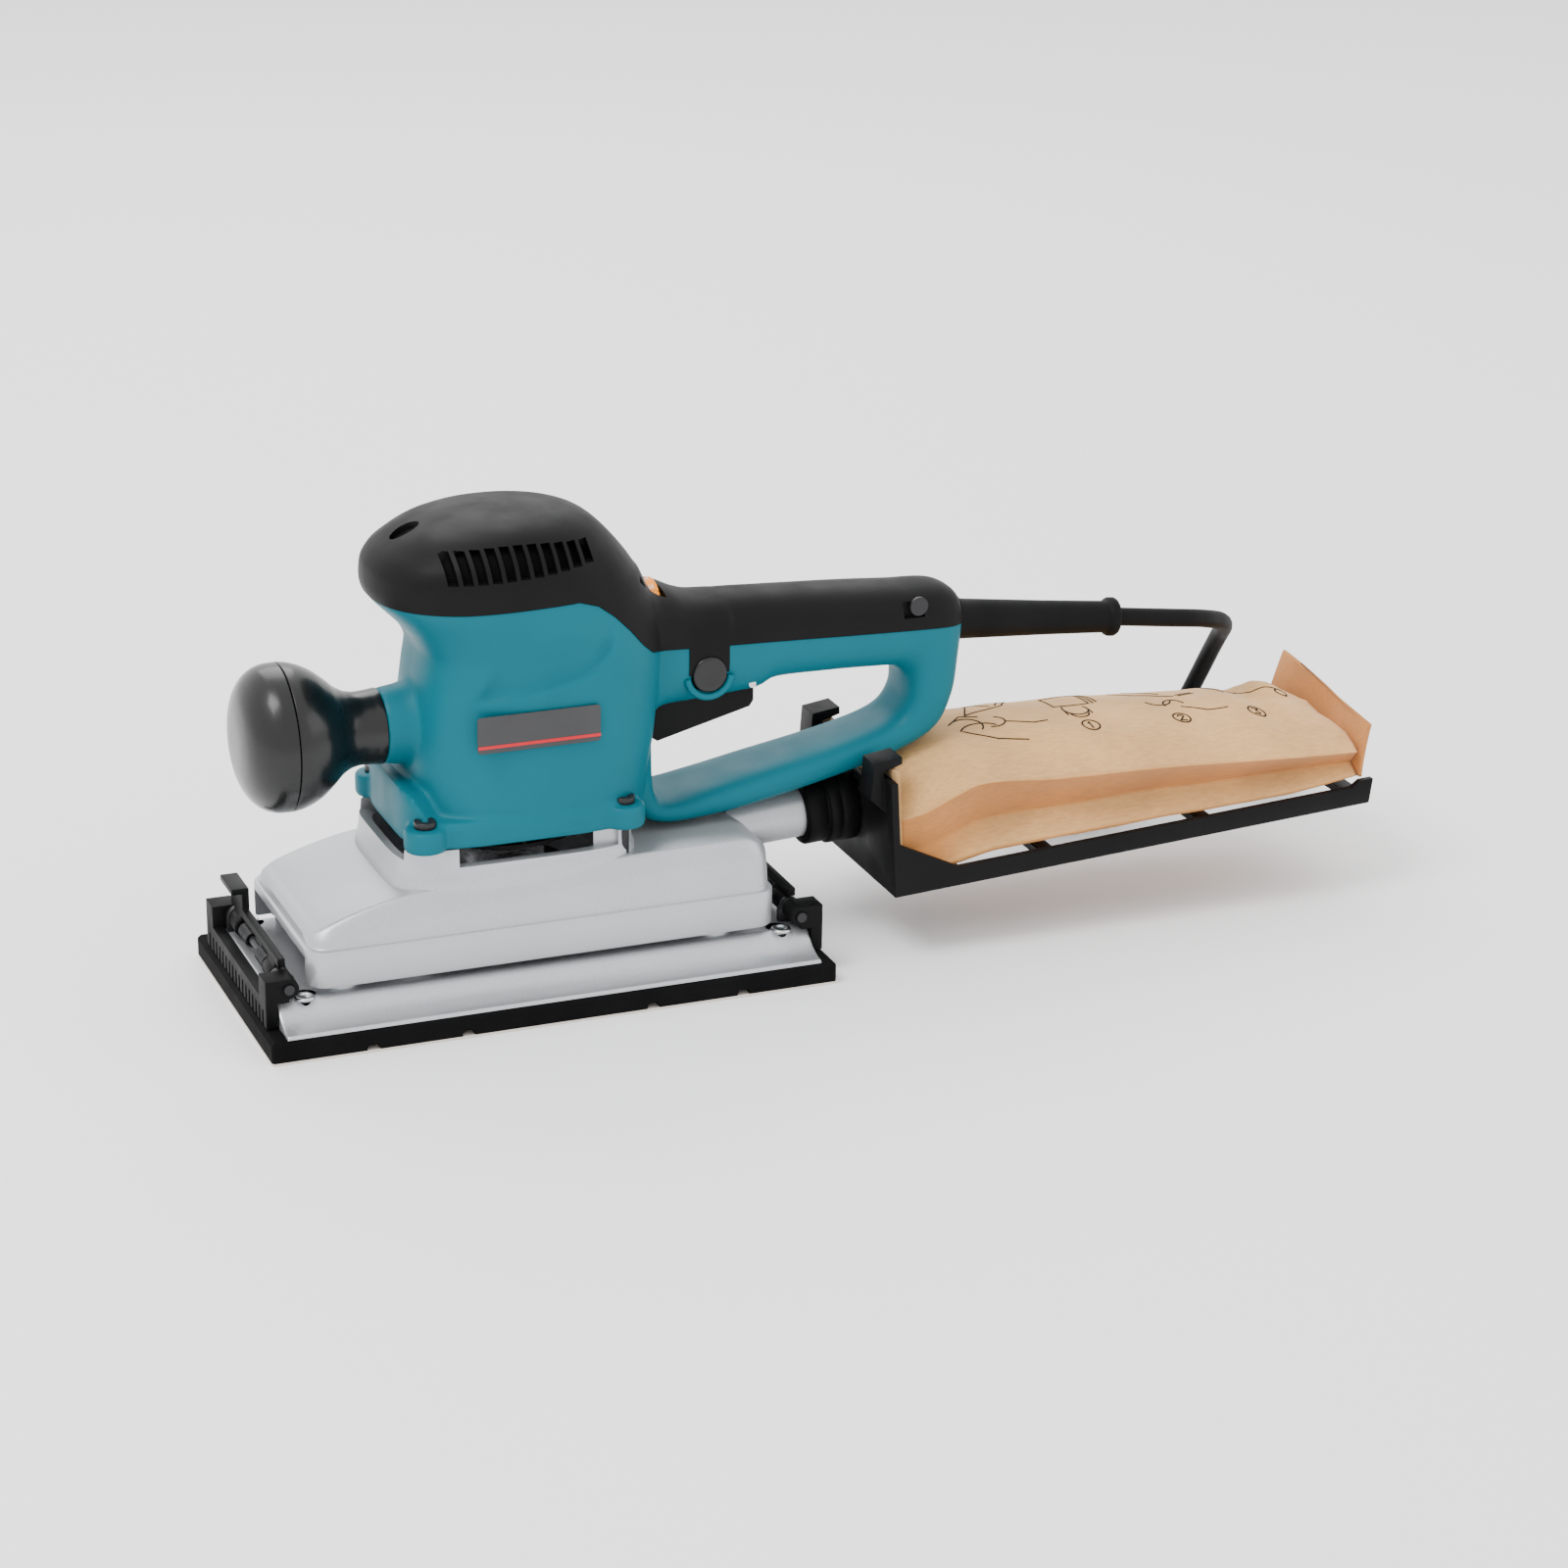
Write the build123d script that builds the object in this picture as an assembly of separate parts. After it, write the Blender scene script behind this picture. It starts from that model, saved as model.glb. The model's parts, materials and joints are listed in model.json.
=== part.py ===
"""Half-sheet orbital finishing sander with a D-handle, front knob, dust pipe and paper dust bag.

Millimetres. X runs along the tool (knob at -X, cord and dust bag at +X), Z is up, and the
origin is the centre of the abrasive sheet's working face.
"""

from build123d import *
import os
from math import atan2, cos, degrees, pi, radians, sin, tan

# ---------------------------------------------------------------- driving dimensions
PAD_LENGTH, PAD_WIDTH = 229.0, 115.0
SHEET_THICKNESS = 0.8
PAD_THICKNESS = 8.2
DUST_HOLE_R = 4.5
DUST_HOLE_X = (-75.0, -37.5, 37.5, 75.0)
DUST_HOLE_Y = 29.0
PAD_NOTCH_R = 2.6
PAD_CORNER, PAD_CHAMFER = 1.5, 1.4

PAN_HEIGHT = 10.0
PAN_LIP = 1.6
PAN_INSET = 1.0
PAN_FLANK = 15.0
PAN_END_INSET = 6.5
PAN_POCKET = 3.5

ORBIT_RADIUS = 1.3
MOTOR_X = -6.0
MOVE_GAP = 0.4
RUNNING = 0.03
SLIDING = 0.05

BASE_GAP = 3.0
BASE_FRONT, BASE_REAR, BASE_WIDTH = -95.0, 94.0, 88.0
BASE_WALL = 3.2
BASE_CORNER = 9.0
BASE_FRONT_HEIGHT = 18.0
BASE_TOP_FRONT, BASE_TOP_REAR = 32.0, 35.7
BASE_REAR_CHAMFER = 8.0
BASE_EDGE = 3.0
SKIRT_HEIGHT, SKIRT_STEP = 15.0, 0.6
COLLAR_FRONT, COLLAR_REAR, COLLAR_WIDTH = -56.0, 41.0, 76.0
COLLAR_HEIGHT = 47.0
COLLAR_WALL, COLLAR_CORNER = 3.5, 22.0
VENT_FRONT, VENT_REAR, VENT_HEIGHT = -34.0, 28.0, 7.3

COLUMN_SPAN_X, COLUMN_SPAN_Y = 152.0, 62.0
COLUMN_R, COLUMN_FOOT_R, COLUMN_TALL = 6.0, 8.0, 22.7
SCREW_SPAN_X, SCREW_SPAN_Y = 80.0, 66.0
SCREW_R, SCREW_HEAD_R, SCREW_HEAD = 2.0, 4.3, 3.0
BOSS_R = 8.0

SHELL_WALL = 3.0
HANDLE_HALF = 18.5
HANDLE_EDGE = 6.0

SHAFT_R = 5.0
SHAFT_TOP_R = 4.0
SHAFT_FOOT_R = 7.5
CORE_R, CORE_LOW, CORE_HIGH = 17.4, 86.0, 126.0
AIR_GAP = 0.8
STATOR_R, STATOR_LOW, STATOR_HIGH = 31.0, 84.0, 128.0
POLE_DEPTH = 6.3
COMMUTATOR_R, COMMUTATOR_LOW, COMMUTATOR_HIGH = 11.0, 138.0, 152.0
FAN_R, FAN_LOW, FAN_HIGH, FAN_BLADES = 32.0, 64.0, 76.0, 12
DUST_FAN_R, DUST_FAN_LOW, DUST_FAN_HIGH, DUST_FAN_BLADES = 30.0, 34.0, 44.0, 8
CRANK_R, CRANK_LOW, CRANK_HIGH = 27.0, 24.0, 33.0
CRANK_PIN_R = 6.0
LOWER_BEARING_R, LOWER_BEARING_LOW, LOWER_BEARING_HIGH = 17.5, 47.0, 58.0
UPPER_BEARING_R, UPPER_BEARING_LOW, UPPER_BEARING_HIGH = 11.0, 159.0, 167.0
PAN_BEARING_R, PAN_BEARING_HIGH = 16.0, 9.0

KNOB_Z, KNOB_BOSS_R, KNOB_BOSS_FACE = 109.0, 14.7, -54.0
KNOB_SEAM, KNOB_FRONT, KNOB_R = -92.0, -110.5, 28.8
KNOB_BOLT_R = 4.0
BADGE_LENGTH, BADGE_HEIGHT, BADGE_THICKNESS, BADGE_X, BADGE_Z = 49.0, 14.5, 1.0, -2.0, 114.2
HEAD_VENTS, HEAD_VENT_FRONT, HEAD_VENT_PITCH, HEAD_VENT_WIDTH = 11, -35.0, 5.9, 3.8
HEAD_VENT_Z = (170.0, 183.0)

TRIGGER_HALF, TRIGGER_PIVOT = 7.5, (94.0, 113.6)
TRIGGER_PIN_R = 1.5
TRIGGER_FRONT, TRIGGER_SWEEP, TRIGGER_SLOT_LOW = 53.7, 2.8, 88.0
BUTTON_X, BUTTON_Z, BUTTON_R, BUTTON_TRAVEL = 74.5, 121.0, 7.2, 3.0
DIAL_X, DIAL_Z, DIAL_R, DIAL_WIDTH = 55.0, 144.6, 12.0, 6.0

PIPE_R, PIPE_WALL, PIPE_TILT, PIPE_REACH = 10.5, 1.6, 3.46, 32.0
PIPE_START = (93.0, 50.0)
HOLDER_FRONT, HOLDER_REAR, HOLDER_HALF = 50.0, 265.0, 45.0
HOLDER_LOW, HOLDER_TOP = -26.0, 22.5
HOLDER_NOTCH = 15.0
SLEEVE_FRONT, SLEEVE_STEP, SLEEVE_R = 27.0, 36.0, 15.2
HOLDER_WALL, RAIL_HEIGHT = 3.0, 9.0
BAR_WIDTH = 7.0
BAG_FRONT, BAG_REAR, BAG_HALF = 57.5, 258.0, 41.0
FLAP_REAR = 272.0

CLAMP_ROD_X, CLAMP_ROD_Z, CLAMP_ROD_R = 104.0, 24.8, 2.0
KNUCKLE_R = 4.0
JAW_HALF, LEVER_HALF = 45.0, 35.0

CORD_R = 3.85
GUARD_ROOT_X, GUARD_END = 168.0, (259.5, 118.6)
GUARD_ROOT_Z = 127.5
GUARD_R = 8.3
LEAD_REACH = 17.0
WIRE_FRONT, WIRE_Z, WIRE_R = 96.0, 128.4, 1.2
CLAMP_X, CLAMP_LOW, CLAMP_SCREW_R = 156.5, 133.0, 1.6
COVER_SCREW_X, COVER_SCREW_Z = 164.0, 138.5
TOP_SCREW_X, TOP_SCREW_R = -42.0, 4.6
COIL_X, COIL_Y, COIL_MID_R = 272.0, 115.0, 42.5
COIL_LAYERS, COIL_ROWS = 2, 4
CORD_ROUTE = [
    (259.5, 0, 118.6),
    (283, 0.3, 115.4),
    (306, 6, 111),
    (325, 23, 102),
    (335, 49, 86),
    (338, 71, 60),
    (335.5, 87, 33),
    (329, 102, 14),
    (322, 124, 4.2),
    (318, 140, 4),
]
TAIL_ROUTE = [(284, 64, 11.5), (306, 66, 11.2), (326, 70, 12), (345, 74, 12.6)]
PLUG_LENGTH, PLUG_WIDTH, PLUG_THICK = 34.0, 28.0, 20.0

# ---------------------------------------------------------------- derived heights
PAD_TOP = SHEET_THICKNESS + PAD_THICKNESS
PAN_TOP = PAD_TOP + PAN_HEIGHT
BASE_LOW = PAN_TOP + BASE_GAP
COLLAR_TOP = BASE_LOW + COLLAR_HEIGHT
ECCENTRIC_X = MOTOR_X + ORBIT_RADIUS
SCREW_SEAT = COLLAR_TOP + 9.0
SCREW_AT = [(MOTOR_X + i * SCREW_SPAN_X / 2, j * SCREW_SPAN_Y / 2) for i in (-1, 1) for j in (-1, 1)]
COLUMN_AT = [(MOTOR_X + i * COLUMN_SPAN_X / 2, j * COLUMN_SPAN_Y / 2) for i in (-1, 1) for j in (-1, 1)]
HOLDER_FRAME = Location((PIPE_START[0], 0, PIPE_START[1]), (0, -PIPE_TILT, 0))

# Upper body: (z, front x, rear x, half width, corner radius) of each level section.
COLUMN_LEVELS = [
    (COLLAR_TOP, -52, 46, 38, 20),
    (84, -48, 52, 38, 20),
    (110, -44.5, 55, 38, 22),
    (137, -41, 56, 38, 24),
    (150, -49, 54, 40, 28),
    (162.5, -58, 50, 41.5, 35),
]
HEAD_LEVELS = [
    (162.5, -58, 50, 41.5, 35),
    (172, -57.5, 42, 41, 36),
    (182, -50, 34, 36, 32),
    (189, -36, 26, 28, 25),
    (192, -24, 10, 17, 15),
    (192.8, -13, -4, 6, 4),
]
HANDLE_OUTLINE = [
    (30, COLLAR_TOP),
    (COLLAR_REAR + 1, COLLAR_TOP),
    (COLLAR_REAR + 1, 60),
    (94, 59.5),
    (132, 70),
    (169, 83),
    (177, 90),
    (181, 103),
    (184, 116),
    (185, 134),
    (178, 141),
    (163.6, 145.3),
    (113, 148.5),
    (72, 149.6),
    (61.4, 156.4),
    (51, 157.5),
    (30, 157),
]
FINGER_OPENING = [(54, 70), (154, 91), (160, 103), (156, 111.3), (107, 113), (99, 108.7), (54, 105.8)]
PARTING_LINE = [
    (-90, 161.5),
    (14, 163),
    (27, 156),
    (36, 148),
    (45, 138),
    (52, 133),
    (66, 132.3),
    (66, 120),
    (83, 120),
    (83, 131.6),
    (200, 127.4),
    (200, 220),
    (-90, 220),
]


# ---------------------------------------------------------------- helpers
def block(x0, x1, y0, y1, z0, z1):
    """Box between two corners."""
    return Pos((x0 + x1) / 2, (y0 + y1) / 2, (z0 + z1) / 2) * Box(x1 - x0, y1 - y0, z1 - z0)


def disc(x, y, z0, z1, r):
    """Upright cylinder from z0 to z1."""
    return Pos(x, y, (z0 + z1) / 2) * Cylinder(r, z1 - z0)


def ring(x, y, z0, z1, r_out, r_in):
    """Upright tube from z0 to z1."""
    return disc(x, y, z0, z1, r_out) - disc(x, y, z0, z1, r_in)


def rod_x(x0, x1, y, z, r):
    """Cylinder along X."""
    return Pos((x0 + x1) / 2, y, z) * Rot(0, 90, 0) * Cylinder(r, x1 - x0)


def rod_y(x, y0, y1, z, r):
    """Cylinder along Y."""
    return Pos(x, (y0 + y1) / 2, z) * Rot(90, 0, 0) * Cylinder(r, y1 - y0)


def prism(points, half):
    """Outline in X and Z carried from -half to +half along Y."""
    return extrude(Plane.XZ.offset(-half) * make_face(Polyline(*points, close=True)), 2 * half)


def wedge(x, y, z0, z1, r_out, r_in, middle, spread):
    """Ring sector about an upright axis, centred on the angle `middle`, in degrees."""
    reach = 2 * r_out
    left, right = radians(middle - spread / 2), radians(middle + spread / 2)
    corners = [(0, 0), (reach * cos(left), reach * sin(left)), (reach * cos(right), reach * sin(right))]
    sector = extrude(Plane.XY.offset(z0) * make_face(Polyline(*corners, close=True)), z1 - z0)
    return ring(x, y, z0, z1, r_out, r_in) & Pos(x, y, 0) * sector


def level(z, front, rear, half, corner):
    """Rounded rectangle at height z."""
    outline = RectangleRounded(rear - front, 2 * half, corner)
    return Plane.XY.offset(z) * Pos((front + rear) / 2, 0) * outline


def tower(levels, inset=0.0):
    """Solid lofted through level sections, each moved inwards by `inset`."""
    sketches = [level(z, a + inset, b - inset, h - inset, r - inset) for z, a, b, h, r in levels]
    return loft(sketches)


def revolved(points, closing):
    """Solid of revolution about the knob's axis from a smooth (x, radius) outline."""
    curve = Spline(*[(x, r) for x, r in points])
    lines = [curve]
    corners = [points[-1], *closing, points[0]]
    for a, b in zip(corners, corners[1:]):
        lines.append(Line(a, b))
    return Pos(0, 0, KNOB_Z) * Rot(90, 0, 0) * revolve(make_face(lines), Axis.X)


# ---------------------------------------------------------------- pad and pan
def dust_holes(z0, z1):
    """Eight dust holes through a layer from z0 to z1."""
    return [disc(x, j * DUST_HOLE_Y, z0 - 1, z1 + 1, DUST_HOLE_R) for x in DUST_HOLE_X for j in (-1, 1)]


def abrasive_sheet():
    """Sheet that lies under the pad, with its dust holes."""
    sheet = extrude(RectangleRounded(PAD_LENGTH, PAD_WIDTH, PAD_CORNER), SHEET_THICKNESS)
    return sheet - dust_holes(0, SHEET_THICKNESS)


def rubber_pad():
    """Pad with a chamfered top edge and small notches in its long sides."""
    plan = Plane.XY.offset(SHEET_THICKNESS) * RectangleRounded(PAD_LENGTH, PAD_WIDTH, PAD_CORNER)
    pad = extrude(plan, PAD_THICKNESS)
    pad = chamfer(pad.faces().sort_by(Axis.Z)[-1].edges(), PAD_CHAMFER)
    for x in DUST_HOLE_X:
        for j in (-1, 1):
            pad -= rod_y(x, j * PAD_WIDTH / 2 - 5, j * PAD_WIDTH / 2 + 5, SHEET_THICKNESS, PAD_NOTCH_R)
    pad -= [disc(x, y, PAD_TOP - 2, PAD_TOP + 1, SCREW_R) for x, y in pad_screw_places()]
    return pad - dust_holes(SHEET_THICKNESS, PAD_TOP)


def pad_screw_places():
    """Where the pad is screwed to the pan."""
    return [(i * PAD_LENGTH * 0.42, j * PAD_WIDTH * 0.33) for i in (-1, 1) for j in (-1, 1)]


def pan_plate():
    """Orbiting pan: a section with sloping flanks carried along X, pocketed underneath."""
    half = PAD_WIDTH / 2 - PAN_INSET
    crest = half - PAN_FLANK
    end = PAD_LENGTH / 2 - PAN_END_INSET
    lip = PAD_TOP + PAN_LIP
    near = [(half, PAD_TOP), (half, lip), (half - 3, lip), (crest + 1.5, PAN_TOP - 1.5), (crest, PAN_TOP)]
    far = [(-y, z) for y, z in reversed(near)]
    face = Plane.YZ.offset(-end) * make_face(Polyline(*near, *far, close=True))
    pan = extrude(face, 2 * end)
    pocket = level(PAD_TOP - 1, -end + 12, end - 12, crest - 4, 6)
    pan -= extrude(pocket, 1 + PAN_POCKET)
    pan += disc(ECCENTRIC_X, 0, PAD_TOP, PAN_TOP, PAN_BEARING_R + 4)
    for x, y in COLUMN_AT:
        pan += disc(x + ORBIT_RADIUS, y, PAD_TOP, PAN_TOP, COLUMN_FOOT_R)
        pan -= disc(x + ORBIT_RADIUS, y, PAD_TOP - 1, PAN_TOP + 1, SCREW_R)
        pan -= disc(x + ORBIT_RADIUS, y, PAD_TOP - 1, PAD_TOP + SCREW_HEAD, SCREW_HEAD_R)
    pan -= disc(ECCENTRIC_X, 0, PAN_TOP - PAN_BEARING_HIGH, PAN_TOP + 1, PAN_BEARING_R)
    for x, y in pad_screw_places():
        pan -= disc(x, y, PAD_TOP - 1, PAN_TOP + 1, SCREW_R)
        pan -= disc(x, y, PAN_TOP - 1.6, PAN_TOP + 1, SCREW_HEAD_R)
    return pan - dust_holes(PAD_TOP, PAN_TOP)


def pad_screws():
    """Countersunk screws that hold the pad to the pan."""
    heads = [disc(x, y, PAN_TOP - 1.6, PAN_TOP, SCREW_HEAD_R) for x, y in pad_screw_places()]
    shanks = [disc(x, y, PAD_TOP - 2, PAN_TOP - 1.6, SCREW_R) for x, y in pad_screw_places()]
    return [a + b for a, b in zip(heads, shanks)]


def flex_columns():
    """Rubber columns that carry the base and let the pan orbit."""
    columns = []
    for x, y in COLUMN_AT:
        foot = disc(x + ORBIT_RADIUS, y, PAN_TOP, BASE_LOW - 0.6, COLUMN_FOOT_R)
        neck = disc(x + ORBIT_RADIUS, y, PAN_TOP, PAN_TOP + COLUMN_TALL, COLUMN_R)
        columns.append(foot + neck - disc(x + ORBIT_RADIUS, y, PAN_TOP - 1, PAN_TOP + 6, SCREW_R))
    return columns


def column_screws():
    """Screws up into the columns."""
    screws = []
    for x, y in COLUMN_AT:
        shank = disc(x + ORBIT_RADIUS, y, PAD_TOP + 0.2, PAN_TOP + 6, SCREW_R)
        screws.append(shank + disc(x + ORBIT_RADIUS, y, PAD_TOP + 0.2, PAD_TOP + SCREW_HEAD, SCREW_HEAD_R))
    return screws


def bearing(x, z0, z1, r_out, r_in):
    """Ball bearing seen from outside: two races and a shield, as one solid."""
    whole = ring(x, 0, z0, z1, r_out, r_in)
    groove = ring(x, 0, z1 - 0.5, z1 + 1, r_out - 2.2, r_in + 2.0)
    return whole - groove


# ---------------------------------------------------------------- paper clamps
def mirrored(shape, end):
    """The piece as made for the rear end, or turned round for the front one."""
    return shape if end > 0 else mirror(shape, Plane.YZ)


def clamp_ears(end):
    """Two ears on the pan that hold the clamp rod."""
    ears = []
    for j in (-1, 1):
        y0, y1 = sorted((j * 31.0, j * 34.0))
        ear = block(CLAMP_ROD_X - 5, CLAMP_ROD_X + 4, y0, y1, PAN_TOP, CLAMP_ROD_Z)
        ear += rod_y(CLAMP_ROD_X, y0, y1, CLAMP_ROD_Z, KNUCKLE_R)
        ears.append(mirrored(ear - rod_y(CLAMP_ROD_X, y0 - 1, y1 + 1, CLAMP_ROD_Z, CLAMP_ROD_R), end))
    return ears


def clamp_rod(end):
    """Rod that the lever and jaw turn on."""
    return mirrored(rod_y(CLAMP_ROD_X, -JAW_HALF - 1, JAW_HALF + 1, CLAMP_ROD_Z, CLAMP_ROD_R), end)


def clamp_springs(end):
    """Coil springs round the rod, as sleeves."""
    coils = []
    for j in (-1, 1):
        y0, y1 = sorted((j * 6.0, j * 18.0))
        coil = rod_y(CLAMP_ROD_X, y0, y1, CLAMP_ROD_Z, CLAMP_ROD_R + 1.6)
        coil -= rod_y(CLAMP_ROD_X, y0 - 1, y1 + 1, CLAMP_ROD_Z, CLAMP_ROD_R + MOVE_GAP)
        coils.append(mirrored(coil, end))
    return coils


def clamp_lever(end):
    """Lever with one raised ear, low in the middle so that the dust pipe clears it."""
    top = CLAMP_ROD_Z + 17.5
    lever = block(CLAMP_ROD_X - 1.5, CLAMP_ROD_X + 1.5, -LEVER_HALF, LEVER_HALF, CLAMP_ROD_Z + 5, top - 9)
    for j in (-1, 1):
        y0, y1 = sorted((j * 17.0, j * LEVER_HALF))
        if j > 0:
            lever += block(CLAMP_ROD_X - 1.5, CLAMP_ROD_X + 1.5, y0, y1, CLAMP_ROD_Z + 5, top)
            lever += block(CLAMP_ROD_X - 1.5, CLAMP_ROD_X + 5.5, y0, y1, top - 2.5, top)
        k0, k1 = sorted((j * 20.0, j * 30.0))
        lever += block(CLAMP_ROD_X - 1.5, CLAMP_ROD_X + 1.5, k0, k1, CLAMP_ROD_Z, CLAMP_ROD_Z + 5.5)
        lever += rod_y(CLAMP_ROD_X, k0, k1, CLAMP_ROD_Z, KNUCKLE_R)
        lever -= rod_y(CLAMP_ROD_X, k0 - 1, k1 + 1, CLAMP_ROD_Z, CLAMP_ROD_R + SLIDING)
    return mirrored(lever, end)


def clamp_jaw(end):
    """Serrated bar that presses the sheet's end, hung from the same rod."""
    inner = CLAMP_ROD_X + KNUCKLE_R + 0.6
    jaw = block(inner, inner + 4.5, -JAW_HALF, JAW_HALF, PAD_TOP + 0.8, PAN_TOP + 1)
    for j in (-1, 1):
        y0, y1 = sorted((j * 35.0, j * JAW_HALF))
        jaw += block(CLAMP_ROD_X, inner + 4.5, y0, y1, PAN_TOP + 0.4, CLAMP_ROD_Z + KNUCKLE_R)
        jaw -= block(CLAMP_ROD_X - 9, CLAMP_ROD_X, y0 - 1, y1 + 1, PAN_TOP, CLAMP_ROD_Z + 9)
        jaw += rod_y(CLAMP_ROD_X, y0, y1, CLAMP_ROD_Z, KNUCKLE_R)
        jaw -= rod_y(CLAMP_ROD_X, y0 - 1, y1 + 1, CLAMP_ROD_Z, CLAMP_ROD_R + SLIDING)
    for k in range(-8, 9):
        jaw -= block(inner + 3.7, inner + 6, k * 5 - 1, k * 5 + 1, PAD_TOP, PAD_TOP + 7)
    return mirrored(jaw, end)


# ---------------------------------------------------------------- base casting
def base_outline(inset=0.0):
    """Side view of the casting: low rounded nose, rising top, chamfered rear."""
    front, rear = BASE_FRONT + inset, BASE_REAR - inset
    top0, top1 = BASE_LOW + BASE_TOP_FRONT - inset, BASE_LOW + BASE_TOP_REAR - inset
    nose = BASE_LOW + BASE_FRONT_HEIGHT - inset
    low = BASE_LOW - (1 if inset else 0)
    return [
        (front, low),
        (front, nose),
        (front + 6, nose + 4.5),
        (front + 20, nose + 9.5),
        (front + 36, top0 - 1.2),
        (front + 49, top0),
        (rear - 54, top1),
        (rear - BASE_REAR_CHAMFER, top1),
        (rear, top1 - BASE_REAR_CHAMFER),
        (rear, low),
    ]


def base_form(inset=0.0):
    """Outside of the casting, or its hollow when moved inwards."""
    body = prism(base_outline(inset), BASE_WIDTH / 2 - SKIRT_STEP - inset)
    half = BASE_WIDTH / 2 - SKIRT_STEP - inset
    plan = level(BASE_LOW - 5, BASE_FRONT + inset, BASE_REAR - inset, half, BASE_CORNER - inset)
    body = body & extrude(plan, 90)
    if inset:
        return body
    upper = [e for e in body.edges() if e.center().Z > BASE_LOW + BASE_FRONT_HEIGHT + 1]
    return fillet([e for e in upper if abs(e.center().Y) > BASE_WIDTH / 2 - 2], BASE_EDGE)


def skirt():
    """Low wall round the casting."""
    half = BASE_WIDTH / 2
    front, rear = BASE_FRONT + BASE_WALL, BASE_REAR - BASE_WALL
    outer = level(BASE_LOW, BASE_FRONT - SKIRT_STEP, BASE_REAR + SKIRT_STEP, half, BASE_CORNER)
    inner = level(BASE_LOW - 1, front, rear, half - BASE_WALL, BASE_CORNER - BASE_WALL)
    return extrude(outer, SKIRT_HEIGHT) - extrude(inner, SKIRT_HEIGHT + 2)


def base_housing():
    """Base casting with its collar, bosses and bearing seat."""
    cavity = base_form(BASE_WALL)
    base = base_form() + skirt() - cavity
    floor = BASE_LOW + BASE_TOP_FRONT - 4
    front, rear, half = COLLAR_FRONT, COLLAR_REAR, COLLAR_WIDTH / 2
    collar = extrude(level(floor, front, rear, half, COLLAR_CORNER), COLLAR_TOP - floor)
    wall = COLLAR_WALL
    hollow = level(floor - 1, front + wall, rear - wall, half - wall, COLLAR_CORNER - wall)
    collar -= extrude(hollow, COLLAR_TOP - floor + 2)
    collar -= cavity
    base += collar
    for x, y in SCREW_AT:
        base += disc(x, y, floor + 4, COLLAR_TOP, BOSS_R - 2)
    vent_low = COLLAR_TOP - VENT_HEIGHT
    for j in (-1, 1):
        y0, y1 = sorted((j * (COLLAR_WIDTH / 2 - COLLAR_WALL - 1), j * (COLLAR_WIDTH / 2 + 2)))
        base -= block(VENT_FRONT, VENT_REAR, y0, y1, vent_low, COLLAR_TOP + 1)
    for x, y in SCREW_AT:
        base -= disc(x, y, floor + 5, COLLAR_TOP + 1, SCREW_R)
    for x, y in COLUMN_AT:
        boss = disc(x, y, BASE_LOW, BASE_LOW + 22, COLUMN_R + 6.5) & base_form()
        base += boss
        base -= disc(x, y, BASE_LOW - 1, PAN_TOP + COLUMN_TALL + MOVE_GAP, COLUMN_R + 3.5)
        base -= disc(x, y, BASE_LOW - 1, BASE_LOW + 0.6, COLUMN_FOOT_R + 3.0)
    base += disc(MOTOR_X, 0, LOWER_BEARING_LOW - 2, LOWER_BEARING_HIGH, LOWER_BEARING_R + 4)
    base -= disc(MOTOR_X, 0, LOWER_BEARING_LOW, LOWER_BEARING_HIGH + 9, LOWER_BEARING_R)
    base -= disc(MOTOR_X, 0, LOWER_BEARING_LOW - 3, LOWER_BEARING_HIGH, LOWER_BEARING_R - 4)
    base += HOLDER_FRAME * (Rot(0, 90, 0) * Cylinder(PIPE_R + 3, 12)) & base_form()
    base -= HOLDER_FRAME * (Rot(0, 90, 0) * Cylinder(PIPE_R, 40))
    return base


def bearing_retainer():
    """Ring that keeps the lower bearing down."""
    low = LOWER_BEARING_HIGH
    return ring(MOTOR_X, 0, low, low + 1.6, LOWER_BEARING_R + 4, SHAFT_FOOT_R + 3)


def fan_baffle():
    """Ring over the cooling fan."""
    return ring(MOTOR_X, 0, FAN_HIGH + 1.5, FAN_HIGH + 3, FAN_R + 2.8, FAN_R - 10)


def dust_pipe():
    """Pipe pressed into the rear of the casting."""
    length = PIPE_REACH + 6
    pipe = Cylinder(PIPE_R, length) - Cylinder(PIPE_R - PIPE_WALL, length + 2)
    return HOLDER_FRAME * (Pos(length / 2 - 6, 0, 0) * Rot(0, 90, 0) * pipe)


# ---------------------------------------------------------------- upper body
def handle_faces(inset=0.0):
    """Outer face of the D-handle and its finger opening."""
    outer = make_face(Polyline(*HANDLE_OUTLINE, close=True))
    hole = make_face(Polyline(*FINGER_OPENING, close=True))
    if inset:
        outer = offset(outer, -inset)
        hole = offset(hole, inset)
    return outer, hole


def handle_solid(inset=0.0):
    """D-handle before it is hollowed."""
    half = HANDLE_HALF - inset
    outer, hole = handle_faces(inset)
    plane = Plane.XZ.offset(-half)
    bar = extrude(plane * outer, 2 * half)
    if not inset:
        sides = [e for e in bar.edges() if abs(abs(e.center().Y) - half) < 0.01 and e.center().X > 60]
        bar = fillet(sides, HANDLE_EDGE)
    return bar - extrude(plane * hole, 2 * half)


def column_and_head(inset=0.0):
    """Motor column and head as one solid."""
    low, high = list(COLUMN_LEVELS), list(HEAD_LEVELS)
    if inset:
        low[0] = (low[0][0] - 1, *low[0][1:])
        high = [(z - inset, a, b, h, r) for z, a, b, h, r in high[1:-1]]
        high = [low[-1], *high]
    return tower(low, inset) + tower(high, inset)


def screw_towers(z0, z1, r):
    """Upright cylinders at the four housing screws."""
    return [disc(x, y, z0, z1, r) for x, y in SCREW_AT]


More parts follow.
